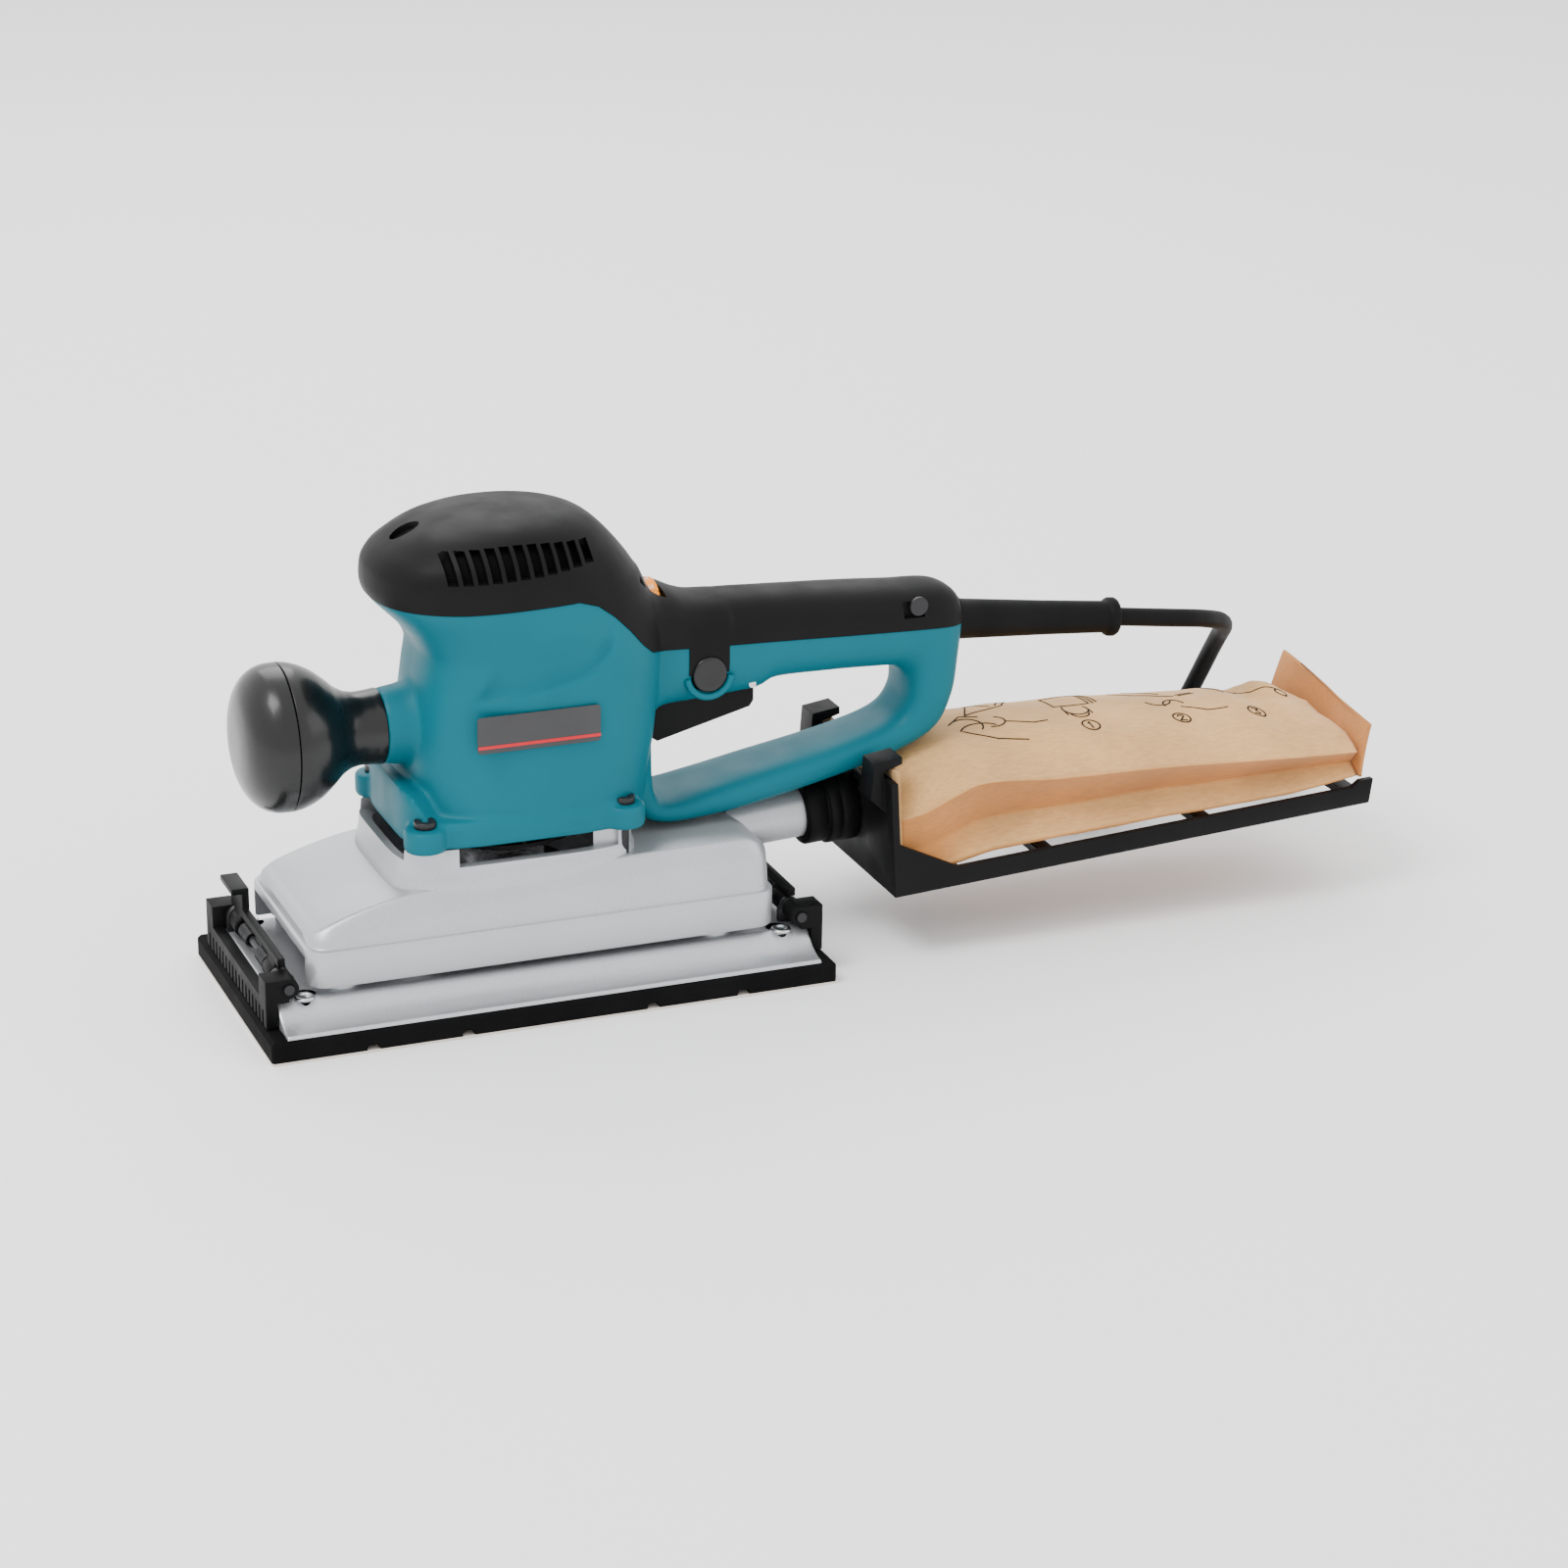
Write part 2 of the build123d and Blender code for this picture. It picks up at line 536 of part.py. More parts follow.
def body_cavity():
    """Hollow of the whole upper body."""
    return column_and_head(SHELL_WALL) + handle_solid(SHELL_WALL)


def upper_shell(cavity):
    """The whole upper body before it is parted into motor housing and top cover."""
    solid = column_and_head() + handle_solid()
    solid += screw_towers(COLLAR_TOP, SCREW_SEAT, BOSS_R)
    shell = solid - cavity
    shell += [boss & solid for boss in screw_towers(COLLAR_TOP, COLLAR_TOP + 22, BOSS_R)]
    shell -= screw_towers(SCREW_SEAT, COLLAR_TOP + 60, BOSS_R - 2.5)
    shell += [ring(x, y, COLLAR_TOP, SCREW_SEAT, BOSS_R - 1, SCREW_R) for x, y in SCREW_AT]
    shell -= screw_towers(COLLAR_TOP - 1, SCREW_SEAT + 1, SCREW_R)
    shell += rod_x(KNOB_BOSS_FACE, KNOB_BOSS_FACE + 16, 0, KNOB_Z, KNOB_BOSS_R) - cavity
    shell -= rod_x(KNOB_BOSS_FACE - 1, -30, 0, KNOB_Z, KNOB_BOLT_R)
    side = TRIGGER_HALF + 0.8
    slot_front, slot_rear = TRIGGER_FRONT - TRIGGER_SWEEP, TRIGGER_PIVOT[0] + 5
    shell -= block(slot_front, slot_rear, -side, side, TRIGGER_SLOT_LOW, TRIGGER_PIVOT[1] + 4)
    shell -= HOLDER_FRAME * (Rot(0, 90, 0) * Cylinder(PIPE_R + MOVE_GAP, 2 * PIPE_REACH))
    start, end = guard_axis()
    socket = Plane(origin=start, x_dir=(0, 1, 0), z_dir=end - start)
    shell -= socket.location * (Pos(0, 0, 15) * Cylinder(GUARD_R, 30))
    bore = BUTTON_R + MOVE_GAP
    shell -= rod_y(BUTTON_X, -HANDLE_HALF - 2, -HANDLE_HALF + SHELL_WALL + 2, BUTTON_Z, bore)
    half = DIAL_WIDTH / 2 + 0.6
    return shell - block(DIAL_X - half, DIAL_X + half, -DIAL_R - 0.5, DIAL_R + 0.5, DIAL_Z, DIAL_Z + 30)


def above_parting():
    """Everything above the parting line."""
    return prism(PARTING_LINE, 60)


def motor_housing(shell):
    """Lower half of the upper body."""
    return shell - above_parting()


def top_cover(shell):
    """Upper half, with its vents and screw holes."""
    cover = shell & above_parting()
    for k in range(HEAD_VENTS):
        x = HEAD_VENT_FRONT + HEAD_VENT_PITCH * k
        for j in (-1, 1):
            y0, y1 = sorted((j * 26.0, j * 46.0))
            cover -= block(x - HEAD_VENT_WIDTH / 2, x + HEAD_VENT_WIDTH / 2, y0, y1, *HEAD_VENT_Z)
    cover -= rod_y(COVER_SCREW_X, -30, -HANDLE_HALF + 2.0, COVER_SCREW_Z, SCREW_HEAD_R + 0.2)
    cover -= rod_y(COVER_SCREW_X, -30, HANDLE_HALF - 4, COVER_SCREW_Z, SCREW_R)
    cover -= disc(TOP_SCREW_X, 0, 184, 200, TOP_SCREW_R)
    return cover


def cover_screws():
    """Screw through the side of the cover."""
    side = rod_y(COVER_SCREW_X, -HANDLE_HALF + 2, HANDLE_HALF - 4, COVER_SCREW_Z, SCREW_R)
    side += rod_y(COVER_SCREW_X, -HANDLE_HALF + 1, -HANDLE_HALF + 2, COVER_SCREW_Z, SCREW_HEAD_R - 0.5)
    return [side]


def housing_screws():
    """Four screws that hold the housing to the base."""
    low = BASE_LOW + BASE_TOP_FRONT + 1
    heads = [disc(x, y, SCREW_SEAT, SCREW_SEAT + SCREW_HEAD, SCREW_HEAD_R) for x, y in SCREW_AT]
    shanks = [disc(x, y, low, SCREW_SEAT, SCREW_R) for x, y in SCREW_AT]
    socket = [disc(x, y, SCREW_SEAT + 1.4, SCREW_SEAT + SCREW_HEAD + 1, 1.6) for x, y in SCREW_AT]
    return [a + b - c for a, b, c in zip(heads, shanks, socket)]


def badge_plate():
    """Plain plate on the near side."""
    half = COLUMN_LEVELS[2][3]
    plate = extrude(RectangleRounded(BADGE_LENGTH, BADGE_HEIGHT, 1.5), BADGE_THICKNESS / 2, both=True)
    return Pos(BADGE_X, -half - 0.9, BADGE_Z) * Rot(90, 0, 0) * plate


# ---------------------------------------------------------------- front knob
def knob_body():
    """Front knob from its neck to its seam."""
    outline = [(KNOB_BOSS_FACE, 15), (-62, 14.2), (-68, 15.5), (-76, 22), (-84, 27.2)]
    outline.append((KNOB_SEAM, KNOB_R))
    body = revolved(outline, [(KNOB_SEAM, 0), (KNOB_BOSS_FACE, 0)])
    return body - rod_x(KNOB_SEAM - 1, KNOB_BOSS_FACE + 1, 0, KNOB_Z, KNOB_BOLT_R)


def knob_cap():
    """Nose of the front knob."""
    outline = [(KNOB_SEAM, KNOB_R), (-100, 27.9), (-106, 23.5), (-109.5, 14), (KNOB_FRONT, 0)]
    cap = revolved(outline, [(KNOB_SEAM, 0)])
    return cap - rod_x(KNOB_SEAM - 7, KNOB_SEAM + 1, 0, KNOB_Z, 7.5)


def knob_bolt():
    """Bolt that holds the knob to the housing."""
    bolt = rod_x(KNOB_SEAM, KNOB_BOSS_FACE + 14, 0, KNOB_Z, KNOB_BOLT_R)
    head = extrude(RegularPolygon(6.5, 6), 2.5, both=True)
    return bolt + Pos(KNOB_SEAM - 2.5, 0, KNOB_Z) * Rot(0, 90, 0) * head


# ---------------------------------------------------------------- motor
def armature_shaft():
    """Motor shaft with its foot."""
    shaft = disc(MOTOR_X, 0, CRANK_HIGH - 4, UPPER_BEARING_LOW - 2, SHAFT_R)
    shaft += disc(MOTOR_X, 0, UPPER_BEARING_LOW - 2, UPPER_BEARING_HIGH + 1, SHAFT_TOP_R)
    return shaft + disc(MOTOR_X, 0, DUST_FAN_HIGH + 1, LOWER_BEARING_HIGH + 4, SHAFT_FOOT_R)


def armature_core():
    """Laminated core."""
    core = ring(MOTOR_X, 0, CORE_LOW, CORE_HIGH, CORE_R, SHAFT_R)
    for k in range(12):
        a = k * pi / 6
        x, y = MOTOR_X + (CORE_R - 0.8) * cos(a), (CORE_R - 0.8) * sin(a)
        core -= Pos(x, y, (CORE_LOW + CORE_HIGH) / 2) * Rot(0, 0, degrees(a)) * Box(5, 1.6, 60)
    return core


def armature_windings():
    """Windings at both ends of the core."""
    ends = []
    for z0, z1 in ((CORE_LOW - 7, CORE_LOW), (CORE_HIGH, CORE_HIGH + 8)):
        coil = ring(MOTOR_X, 0, z0, z1, CORE_R - 2.4, SHAFT_R)
        rim = coil.edges().filter_by(GeomType.CIRCLE).sort_by(Axis.Z)
        outer = [e for e in rim if e.radius > SHAFT_R + 1]
        ends.append(fillet(outer, 2.5))
    return ends


def commutator():
    """Commutator ring."""
    part = ring(MOTOR_X, 0, COMMUTATOR_LOW, COMMUTATOR_HIGH, COMMUTATOR_R, SHAFT_R)
    part += ring(MOTOR_X, 0, COMMUTATOR_LOW - 3, COMMUTATOR_LOW, COMMUTATOR_R + 1.5, SHAFT_R)
    return part


def bladed(x, z0, z1, r, bore, hub, blades, thick, plate_below):
    """Radial fan: a disc, a hub and straight blades."""
    plate = (z0, z0 + 1.6) if plate_below else (z1 - 1.6, z1)
    fan = disc(x, 0, *plate, r) + disc(x, 0, z0, z1, hub)
    length = r - hub
    blade = Pos(hub + length / 2 - 0.5, 0, (z0 + z1) / 2) * Box(length, thick, z1 - z0)
    for k in range(blades):
        fan += Pos(x, 0, 0) * Rot(0, 0, 360 * k / blades) * blade
    return fan - disc(x, 0, z0 - 1, z1 + 1, bore)


def cooling_fan():
    """Fan that cools the motor."""
    return bladed(MOTOR_X, FAN_LOW, FAN_HIGH, FAN_R, SHAFT_R, 9.0, FAN_BLADES, 1.6, True)


def dust_fan():
    """Fan that draws dust through the base."""
    low, high = DUST_FAN_LOW, DUST_FAN_HIGH
    return bladed(MOTOR_X, low, high, DUST_FAN_R, SHAFT_R, 9.0, DUST_FAN_BLADES, 2.0, False)


def crank_weight():
    """Eccentric pin under a disc whose heavy side balances the pan."""
    weight = disc(MOTOR_X, 0, CRANK_LOW, CRANK_HIGH, 12)
    weight += wedge(MOTOR_X, 0, CRANK_LOW, CRANK_HIGH, CRANK_R, 10, 180, 150)
    weight += disc(ECCENTRIC_X, 0, PAN_TOP - PAN_BEARING_HIGH + 0.6, CRANK_LOW, CRANK_PIN_R)
    return weight - disc(MOTOR_X, 0, CRANK_HIGH - 4, CRANK_HIGH + 1, SHAFT_R)


def field_stator():
    """Laminated field with two poles."""
    bore = CORE_R + AIR_GAP
    stator = ring(MOTOR_X, 0, STATOR_LOW, STATOR_HIGH, STATOR_R, bore + POLE_DEPTH)
    for middle in (90, 270):
        stator += wedge(MOTOR_X, 0, STATOR_LOW, STATOR_HIGH, bore + POLE_DEPTH + 1, bore, middle, 110)
    return stator


def field_coils():
    """Field coils between the poles."""
    bore = CORE_R + AIR_GAP
    low, high = STATOR_LOW - 4, STATOR_HIGH + 4
    r_out, r_in = bore + POLE_DEPTH - 0.4, bore + 0.6
    return [wedge(MOTOR_X, 0, low, high, r_out, r_in, middle, 58) for middle in (0, 180)]


def bearing_bridge(cavity):
    """Bridge across the head that holds the upper bearing."""
    z0 = COMMUTATOR_HIGH + 2
    bar = block(MOTOR_X - 13, MOTOR_X + 13, -45, 45, z0, z0 + 4) & cavity
    bar += disc(MOTOR_X, 0, z0, UPPER_BEARING_HIGH, UPPER_BEARING_R + 3)
    bar -= disc(MOTOR_X, 0, UPPER_BEARING_LOW, UPPER_BEARING_HIGH + 1, UPPER_BEARING_R)
    return bar - disc(MOTOR_X, 0, z0 - 1, UPPER_BEARING_HIGH, SHAFT_R + 3)


def brush_places():
    """Span in Y of each brush."""
    return [sorted((j * (COMMUTATOR_R + MOVE_GAP), j * (COMMUTATOR_R + 13))) for j in (-1, 1)]


def brush_holders():
    """Square tubes round the brushes."""
    boxes = []
    for y0, y1 in brush_places():
        j = 1 if y0 > 0 else -1
        a, b = sorted((j * (COMMUTATOR_R + 3), j * (COMMUTATOR_R + 20)))
        tube = block(MOTOR_X - 6, MOTOR_X + 6, a, b, COMMUTATOR_LOW + 2, COMMUTATOR_HIGH + 2)
        tube -= block(MOTOR_X - 4, MOTOR_X + 4, a - 1, b + 1, COMMUTATOR_LOW + 4, COMMUTATOR_HIGH - 2)
        boxes.append(tube)
    return boxes


def carbon_brushes():
    """Two carbon brushes."""
    return [block(MOTOR_X - 4, MOTOR_X + 4, y0, y1, COMMUTATOR_LOW + 4, COMMUTATOR_HIGH - 2)
            for y0, y1 in brush_places()]


# ---------------------------------------------------------------- controls
def trigger():
    """Trigger lever under the handle."""
    x, z = TRIGGER_PIVOT
    front = TRIGGER_FRONT
    outline = [(front, 94), (front + 3.5, 91.6), (x + 2, 101.6), (x + 3.6, 104)]
    outline += [(x + 3.6, z + 3), (x - 4, z + 3), (front + 6.5, z - 1.5), (front + 2, z - 4)]
    lever = prism(outline, TRIGGER_HALF)
    return lever - rod_y(x, -TRIGGER_HALF - 1, TRIGGER_HALF + 1, z, TRIGGER_PIN_R + SLIDING)


def trigger_pin():
    """Pin that the trigger turns on."""
    x, z = TRIGGER_PIVOT
    return rod_y(x, SHELL_WALL - HANDLE_HALF, HANDLE_HALF - SHELL_WALL, z, TRIGGER_PIN_R)


def lock_button():
    """Button that locks the trigger down."""
    outer = -HANDLE_HALF - 1.6
    cap = rod_y(BUTTON_X, outer, outer + 6, BUTTON_Z, BUTTON_R)
    stem = rod_y(BUTTON_X, outer + 6, -8 - BUTTON_TRAVEL - MOVE_GAP, BUTTON_Z, 3)
    return cap + stem


def switch_body():
    """Switch above the trigger."""
    return block(64, 92, -8, 8, TRIGGER_PIVOT[1] + 6.5, 132)


def speed_dial():
    """Wheel with a grooved rim."""
    wheel = rod_x(DIAL_X - DIAL_WIDTH / 2, DIAL_X + DIAL_WIDTH / 2, 0, DIAL_Z, DIAL_R)
    for k in range(30):
        a = 2 * pi * k / 30
        y, z = DIAL_R * cos(a), DIAL_Z + DIAL_R * sin(a)
        wheel -= rod_x(DIAL_X - DIAL_WIDTH, DIAL_X + DIAL_WIDTH, y, z, 0.5)
    return wheel - rod_x(DIAL_X - 9, DIAL_X + 9, 0, DIAL_Z, 2 + SLIDING)


def speed_controller():
    """Board behind the dial, with its stub axle."""
    board = block(DIAL_X + 5, DIAL_X + 7, -12, 12, DIAL_Z - 10, DIAL_Z + 4)
    board += rod_x(DIAL_X - DIAL_WIDTH, DIAL_X + 5.5, 0, DIAL_Z, 2)
    return board + block(DIAL_X + 7, DIAL_X + 18, -9, 9, DIAL_Z - 9, DIAL_Z - 2)


# ---------------------------------------------------------------- cord
def cord_clamp():
    """Bar that holds the lead down inside the handle."""
    bar = block(CLAMP_X - 2.8, CLAMP_X + 2.8, -13, 13, CLAMP_LOW, CLAMP_LOW + 3.4)
    return bar - clamp_screws()


def clamp_screws():
    """Two screws through the clamp bar."""
    low, high = CLAMP_LOW - 12, CLAMP_LOW + 5
    return [disc(CLAMP_X, j * 9.5, low, high, CLAMP_SCREW_R) for j in (-1, 1)]


def guard_axis():
    """Ends of the cord guard's centre line."""
    start, end = Vector(GUARD_ROOT_X, 0, GUARD_ROOT_Z), Vector(GUARD_END[0], 0, GUARD_END[1])
    return start, end


def cord_guard():
    """Tapered sleeve with a collar at each end; the lead runs through its bore."""
    start, end = guard_axis()
    axis = end - start
    frame = Plane(origin=start, x_dir=(0, 1, 0), z_dir=axis)
    length = axis.length
    outline = [(CORD_R, 0), (GUARD_R, 0), (GUARD_R, 22), (7.6, 40), (6.6, length - 3.6)]
    outline += [(8, length - 3.2), (8, length - 0.4), (7.6, length), (CORD_R, length)]
    sleeve = revolve(Plane.XZ * make_face(Polyline(*outline, close=True)), Axis.Z)
    return frame.location * sleeve


def inner_lead():
    """Cord inside the guard and handle."""
    start, end = guard_axis()
    axis = end - start
    frame = Plane(origin=start, x_dir=(0, 1, 0), z_dir=axis)
    lead = Pos(0, 0, (axis.length - LEAD_REACH) / 2) * Cylinder(CORD_R, axis.length + LEAD_REACH)
    return frame.location * lead


def rounded_route(points):
    """Straight runs joined by tangent arcs as large as the two runs allow."""
    corners = [Vector(*p) for p in points]
    radii = []
    for a, b, c in zip(corners, corners[1:], corners[2:]):
        turn = (b - a).get_angle(c - b)
        radii.append(0.45 * min((b - a).length, (c - b).length) / tan(radians(turn) / 2))
    return FilletPolyline(*points, radius=radii)


def tube(points):
    """Cord carried along a route."""
    path = rounded_route(points)
    start = Plane(origin=path @ 0, z_dir=path % 0)
    return sweep(start * Circle(CORD_R), path=path)


def cord_coil():
    """Envelope of the coiled cord."""
    half = COIL_ROWS * CORD_R
    coil = ring(COIL_X, COIL_Y, 0, 2 * CORD_R * COIL_LAYERS, COIL_MID_R + half, COIL_MID_R - half)
    return fillet(coil.edges().filter_by(GeomType.CIRCLE), 2.5)


def plug_frame():
    """Place and heading of the plug."""
    a, b = Vector(*TAIL_ROUTE[-2]), Vector(*TAIL_ROUTE[-1])
    return Location((b.X, b.Y, b.Z), (0, 0, degrees(atan2(b.Y - a.Y, b.X - a.X))))


def plug():
    """Plug with its strain relief."""
    body = Box(PLUG_LENGTH, PLUG_WIDTH, PLUG_THICK)
    body = fillet(body.edges().filter_by(Axis.X), 6.0)
    body = chamfer(body.faces().sort_by(Axis.X)[0].edges(), 4.0)
    relief = Pos(-PLUG_LENGTH / 2 - 8, 0, 0) * Rot(0, 90, 0) * Cone(4.6, 7.5, 16)
    return plug_frame() * (Pos(PLUG_LENGTH / 2 + 16, 0, 0) * (body + relief))


def plug_pins():
    """Two flat pins."""
    x = 16 + PLUG_LENGTH
    return [plug_frame() * block(x, x + 17, j * 6.35 - 0.8, j * 6.35 + 0.8, -3.2, 3.2) for j in (-1, 1)]


def lead_wires():
    """Two wires from the lead to the switch."""
    wires = []
    for j in (-1, 1):
        wires.append(rod_x(WIRE_FRONT, GUARD_ROOT_X - LEAD_REACH - 1, j * 3, WIRE_Z, WIRE_R))
    return wires


# ---------------------------------------------------------------- dust collection
def coupling_sleeve():
    """Rubber socket that slips over the dust pipe and carries the bag holder."""
    sleeve = rod_x(SLEEVE_FRONT, SLEEVE_STEP, 0, 0, SLEEVE_R - 1.2)
    sleeve += rod_x(SLEEVE_STEP, HOLDER_FRONT, 0, 0, SLEEVE_R)
    sleeve -= rod_x(SLEEVE_FRONT - 5, SLEEVE_STEP + 2, 0, 0, PIPE_R + SLIDING)
    sleeve -= rod_x(SLEEVE_FRONT - 2, HOLDER_FRONT + 15, 0, 0, PIPE_R - PIPE_WALL)
    return HOLDER_FRAME * sleeve


def holder_notch():
    """Room for the D-handle's lower bar over the middle of the front plate."""
    half = HANDLE_HALF + 3
    return block(HOLDER_FRONT - 9, HOLDER_FRONT + 9, -half, half, HOLDER_NOTCH, HOLDER_TOP + 20)


def bag_holder():
    """Tray with rails, cross bars and clips."""
    wall, low = HOLDER_WALL, HOLDER_LOW
    holder = block(HOLDER_FRONT, HOLDER_FRONT + wall, -HOLDER_HALF, HOLDER_HALF, low, HOLDER_TOP)
    holder -= Pos(HOLDER_FRONT, 0, 0) * Rot(0, 90, 0) * Cylinder(PIPE_R - PIPE_WALL, 20)
    holder -= holder_notch()
    front, rear, rail_top = HOLDER_FRONT, HOLDER_REAR, low + RAIL_HEIGHT - 1
    rail = [(front, low), (rear, low), (rear + 2, low + 10.5), (rear - 4, low + 10.5), (rear - 8, rail_top)]
    rail += [(front + 28, rail_top), (front + wall, low + 22), (front, low + 22)]
    side = prism(rail, wall / 2)
    for j in (-1, 1):
        holder += Pos(0, j * (HOLDER_HALF - wall / 2), 0) * side
        y0, y1 = sorted((j * (HOLDER_HALF - 9), j * HOLDER_HALF))
        holder += block(HOLDER_FRONT, HOLDER_REAR, y0, y1, low, low + 2.5)
        top = HOLDER_TOP
        clip = [(front - 6, top - 8), (front, top - 14), (front, top + 3)]
        clip += [(front + 8, top + 5), (front + 8, top + 8), (front - 4, top + 7)]
        holder += Pos(0, j * (HOLDER_HALF - 13), 0) * prism(clip, 6)
    holder += block(HOLDER_FRONT, HOLDER_FRONT + 34, -HOLDER_HALF, HOLDER_HALF, low, low + 2.5)
    for x in (118, 190, HOLDER_REAR - BAR_WIDTH):
        holder += block(x, x + BAR_WIDTH, -HOLDER_HALF, HOLDER_HALF, low, low + 3.5)
    return HOLDER_FRAME * holder


def bag_flange():
    """Card at the mouth of the bag."""
    x = HOLDER_FRONT + HOLDER_WALL + 0.5
    card = block(x, x + 2, -HOLDER_HALF + 3.6, HOLDER_HALF - 3.6, HOLDER_LOW + 3.9, HOLDER_TOP + 3.2)
    card -= holder_notch()
    return HOLDER_FRAME * (card - Pos(x, 0, 0) * Rot(0, 90, 0) * Cylinder(12, 20))


def dust_bag():
    """Filled paper bag: crowned near its front, flattening to the folded rear end."""
    start = HOLDER_FRONT + HOLDER_WALL + 2.5
    floor = [(start, -20), (start + 34, -18), (200, -17), (BAG_REAR, -15)]
    floor += [(FLAP_REAR, -20), (FLAP_REAR, -15)]
    crown = [(BAG_REAR + 6, 9), (BAG_REAR, 9), (216, 11), (156, 20), (95, 24), (start + 22, 20), (start, 14)]
    bag = prism(floor + crown, BAG_HALF)
    sides = [e for e in bag.edges() if abs(abs(e.center().Y) - BAG_HALF) < 0.01 and e.center().Z > 4
             and start + 8 < e.center().X < BAG_REAR - 4]
    return HOLDER_FRAME * fillet(sides, 7.0)


# ---------------------------------------------------------------- output
def everything():
    """Every part of the sander by name."""
    low, bore = PAN_TOP - PAN_BEARING_HIGH, CRANK_PIN_R + RUNNING
    pan_bearing = bearing(ECCENTRIC_X, low, PAN_TOP, PAN_BEARING_R, bore)
    cavity = body_cavity()
    shell = upper_shell(cavity)
    return {
        "abrasive_sheet": abrasive_sheet(),
        "rubber_pad": rubber_pad(),
        "pan_plate": pan_plate(),
        "pad_screws": pad_screws(),
        "flex_columns": flex_columns(),
        "column_screws": column_screws(),
        "pan_bearing": pan_bearing,
        "clamp_brackets": clamp_ears(-1) + clamp_ears(1),
        "clamp_rods": [clamp_rod(-1), clamp_rod(1)],
        "clamp_springs": clamp_springs(-1) + clamp_springs(1),
        "front_clamp_lever": clamp_lever(-1),
        "front_clamp_jaw": clamp_jaw(-1),
        "rear_clamp_lever": clamp_lever(1),
        "rear_clamp_jaw": clamp_jaw(1),
        "base_housing": base_housing(),
        "bearing_retainer": bearing_retainer(),
        "fan_baffle": fan_baffle(),
        "dust_pipe": dust_pipe(),
        "motor_housing": motor_housing(shell),
        "top_cover": top_cover(shell),
        "badge_plate": badge_plate(),
        "housing_screws": housing_screws(),
        "cover_screws": cover_screws(),
        "knob_body": knob_body(),
        "knob_cap": knob_cap(),
        "knob_bolt": knob_bolt(),
        "armature_shaft": armature_shaft(),
        "armature_core": armature_core(),
        "armature_windings": armature_windings(),
        "commutator": commutator(),
        "cooling_fan": cooling_fan(),
        "dust_fan": dust_fan(),
        "crank_weight": crank_weight(),
        "lower_bearing": bearing(MOTOR_X, LOWER_BEARING_LOW, LOWER_BEARING_HIGH, LOWER_BEARING_R,
                                 SHAFT_FOOT_R + RUNNING),
        "upper_bearing": bearing(MOTOR_X, UPPER_BEARING_LOW, UPPER_BEARING_HIGH, UPPER_BEARING_R,
                                 SHAFT_TOP_R + RUNNING),
        "field_stator": field_stator(),
        "field_coils": field_coils(),
        "bearing_bridge": bearing_bridge(cavity),
        "brush_holders": brush_holders(),
        "carbon_brushes": carbon_brushes(),
        "trigger": trigger(),
        "trigger_pin": trigger_pin(),
        "lock_button": lock_button(),
        "switch_body": switch_body(),
        "speed_dial": speed_dial(),
        "speed_controller": speed_controller(),
        "lead_wires": lead_wires(),
        "cord_clamp": cord_clamp(),
        "clamp_screws": clamp_screws(),
        "cord_guard": cord_guard(),
        "inner_lead": inner_lead(),
        "cord": tube(CORD_ROUTE),
        "cord_coil": cord_coil(),
        "cord_tail": tube(TAIL_ROUTE),
        "plug": plug(),
        "plug_pins": plug_pins(),
        "coupling_sleeve": coupling_sleeve(),
        "bag_holder": bag_holder(),
        "bag_flange": bag_flange(),
        "dust_bag": dust_bag(),
    }


os.makedirs("parts", exist_ok=True)
for name, shape in everything().items():
    solids = shape if isinstance(shape, list) else [shape]
    whole = Compound(children=[s for piece in solids for s in piece.solids()])
    export_step(whole, f"parts/{name}.step")
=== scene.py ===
"""Visual model of a half-sheet orbital finishing sander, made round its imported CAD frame.

Laid out as an add-on: settings, one operator for each group of pieces, one panel. Surfaces are
worked out in millimetres in the frame's own axes and written to the meshes in metres.
"""

import json
from math import atan2, cos, pi, radians, sin

import bmesh
import bpy
import numpy as np
from mathutils import Matrix, Vector


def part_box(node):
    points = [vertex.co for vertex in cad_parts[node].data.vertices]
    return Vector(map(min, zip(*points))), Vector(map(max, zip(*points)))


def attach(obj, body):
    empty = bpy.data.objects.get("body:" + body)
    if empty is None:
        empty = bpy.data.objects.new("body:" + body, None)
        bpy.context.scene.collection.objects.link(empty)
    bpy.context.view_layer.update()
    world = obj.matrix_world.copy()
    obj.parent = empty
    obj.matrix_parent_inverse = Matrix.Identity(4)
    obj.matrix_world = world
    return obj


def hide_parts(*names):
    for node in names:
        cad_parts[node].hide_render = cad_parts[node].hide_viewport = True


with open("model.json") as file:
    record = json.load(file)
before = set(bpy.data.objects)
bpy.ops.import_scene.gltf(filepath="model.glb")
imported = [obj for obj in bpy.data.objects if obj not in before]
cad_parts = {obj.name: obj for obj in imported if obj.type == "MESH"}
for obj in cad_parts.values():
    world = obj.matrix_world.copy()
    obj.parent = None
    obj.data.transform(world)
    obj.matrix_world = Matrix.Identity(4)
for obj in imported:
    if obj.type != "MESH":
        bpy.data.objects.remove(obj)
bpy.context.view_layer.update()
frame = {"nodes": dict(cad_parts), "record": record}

bl_info = {
    "name": "Finishing Sander",
    "version": (1, 0, 0),
    "blender": (4, 5, 0),
    "location": "View3D > Sidebar > Sander",
    "description": "Builds an orbital finishing sander piece by piece",
    "category": "Add Mesh",
}

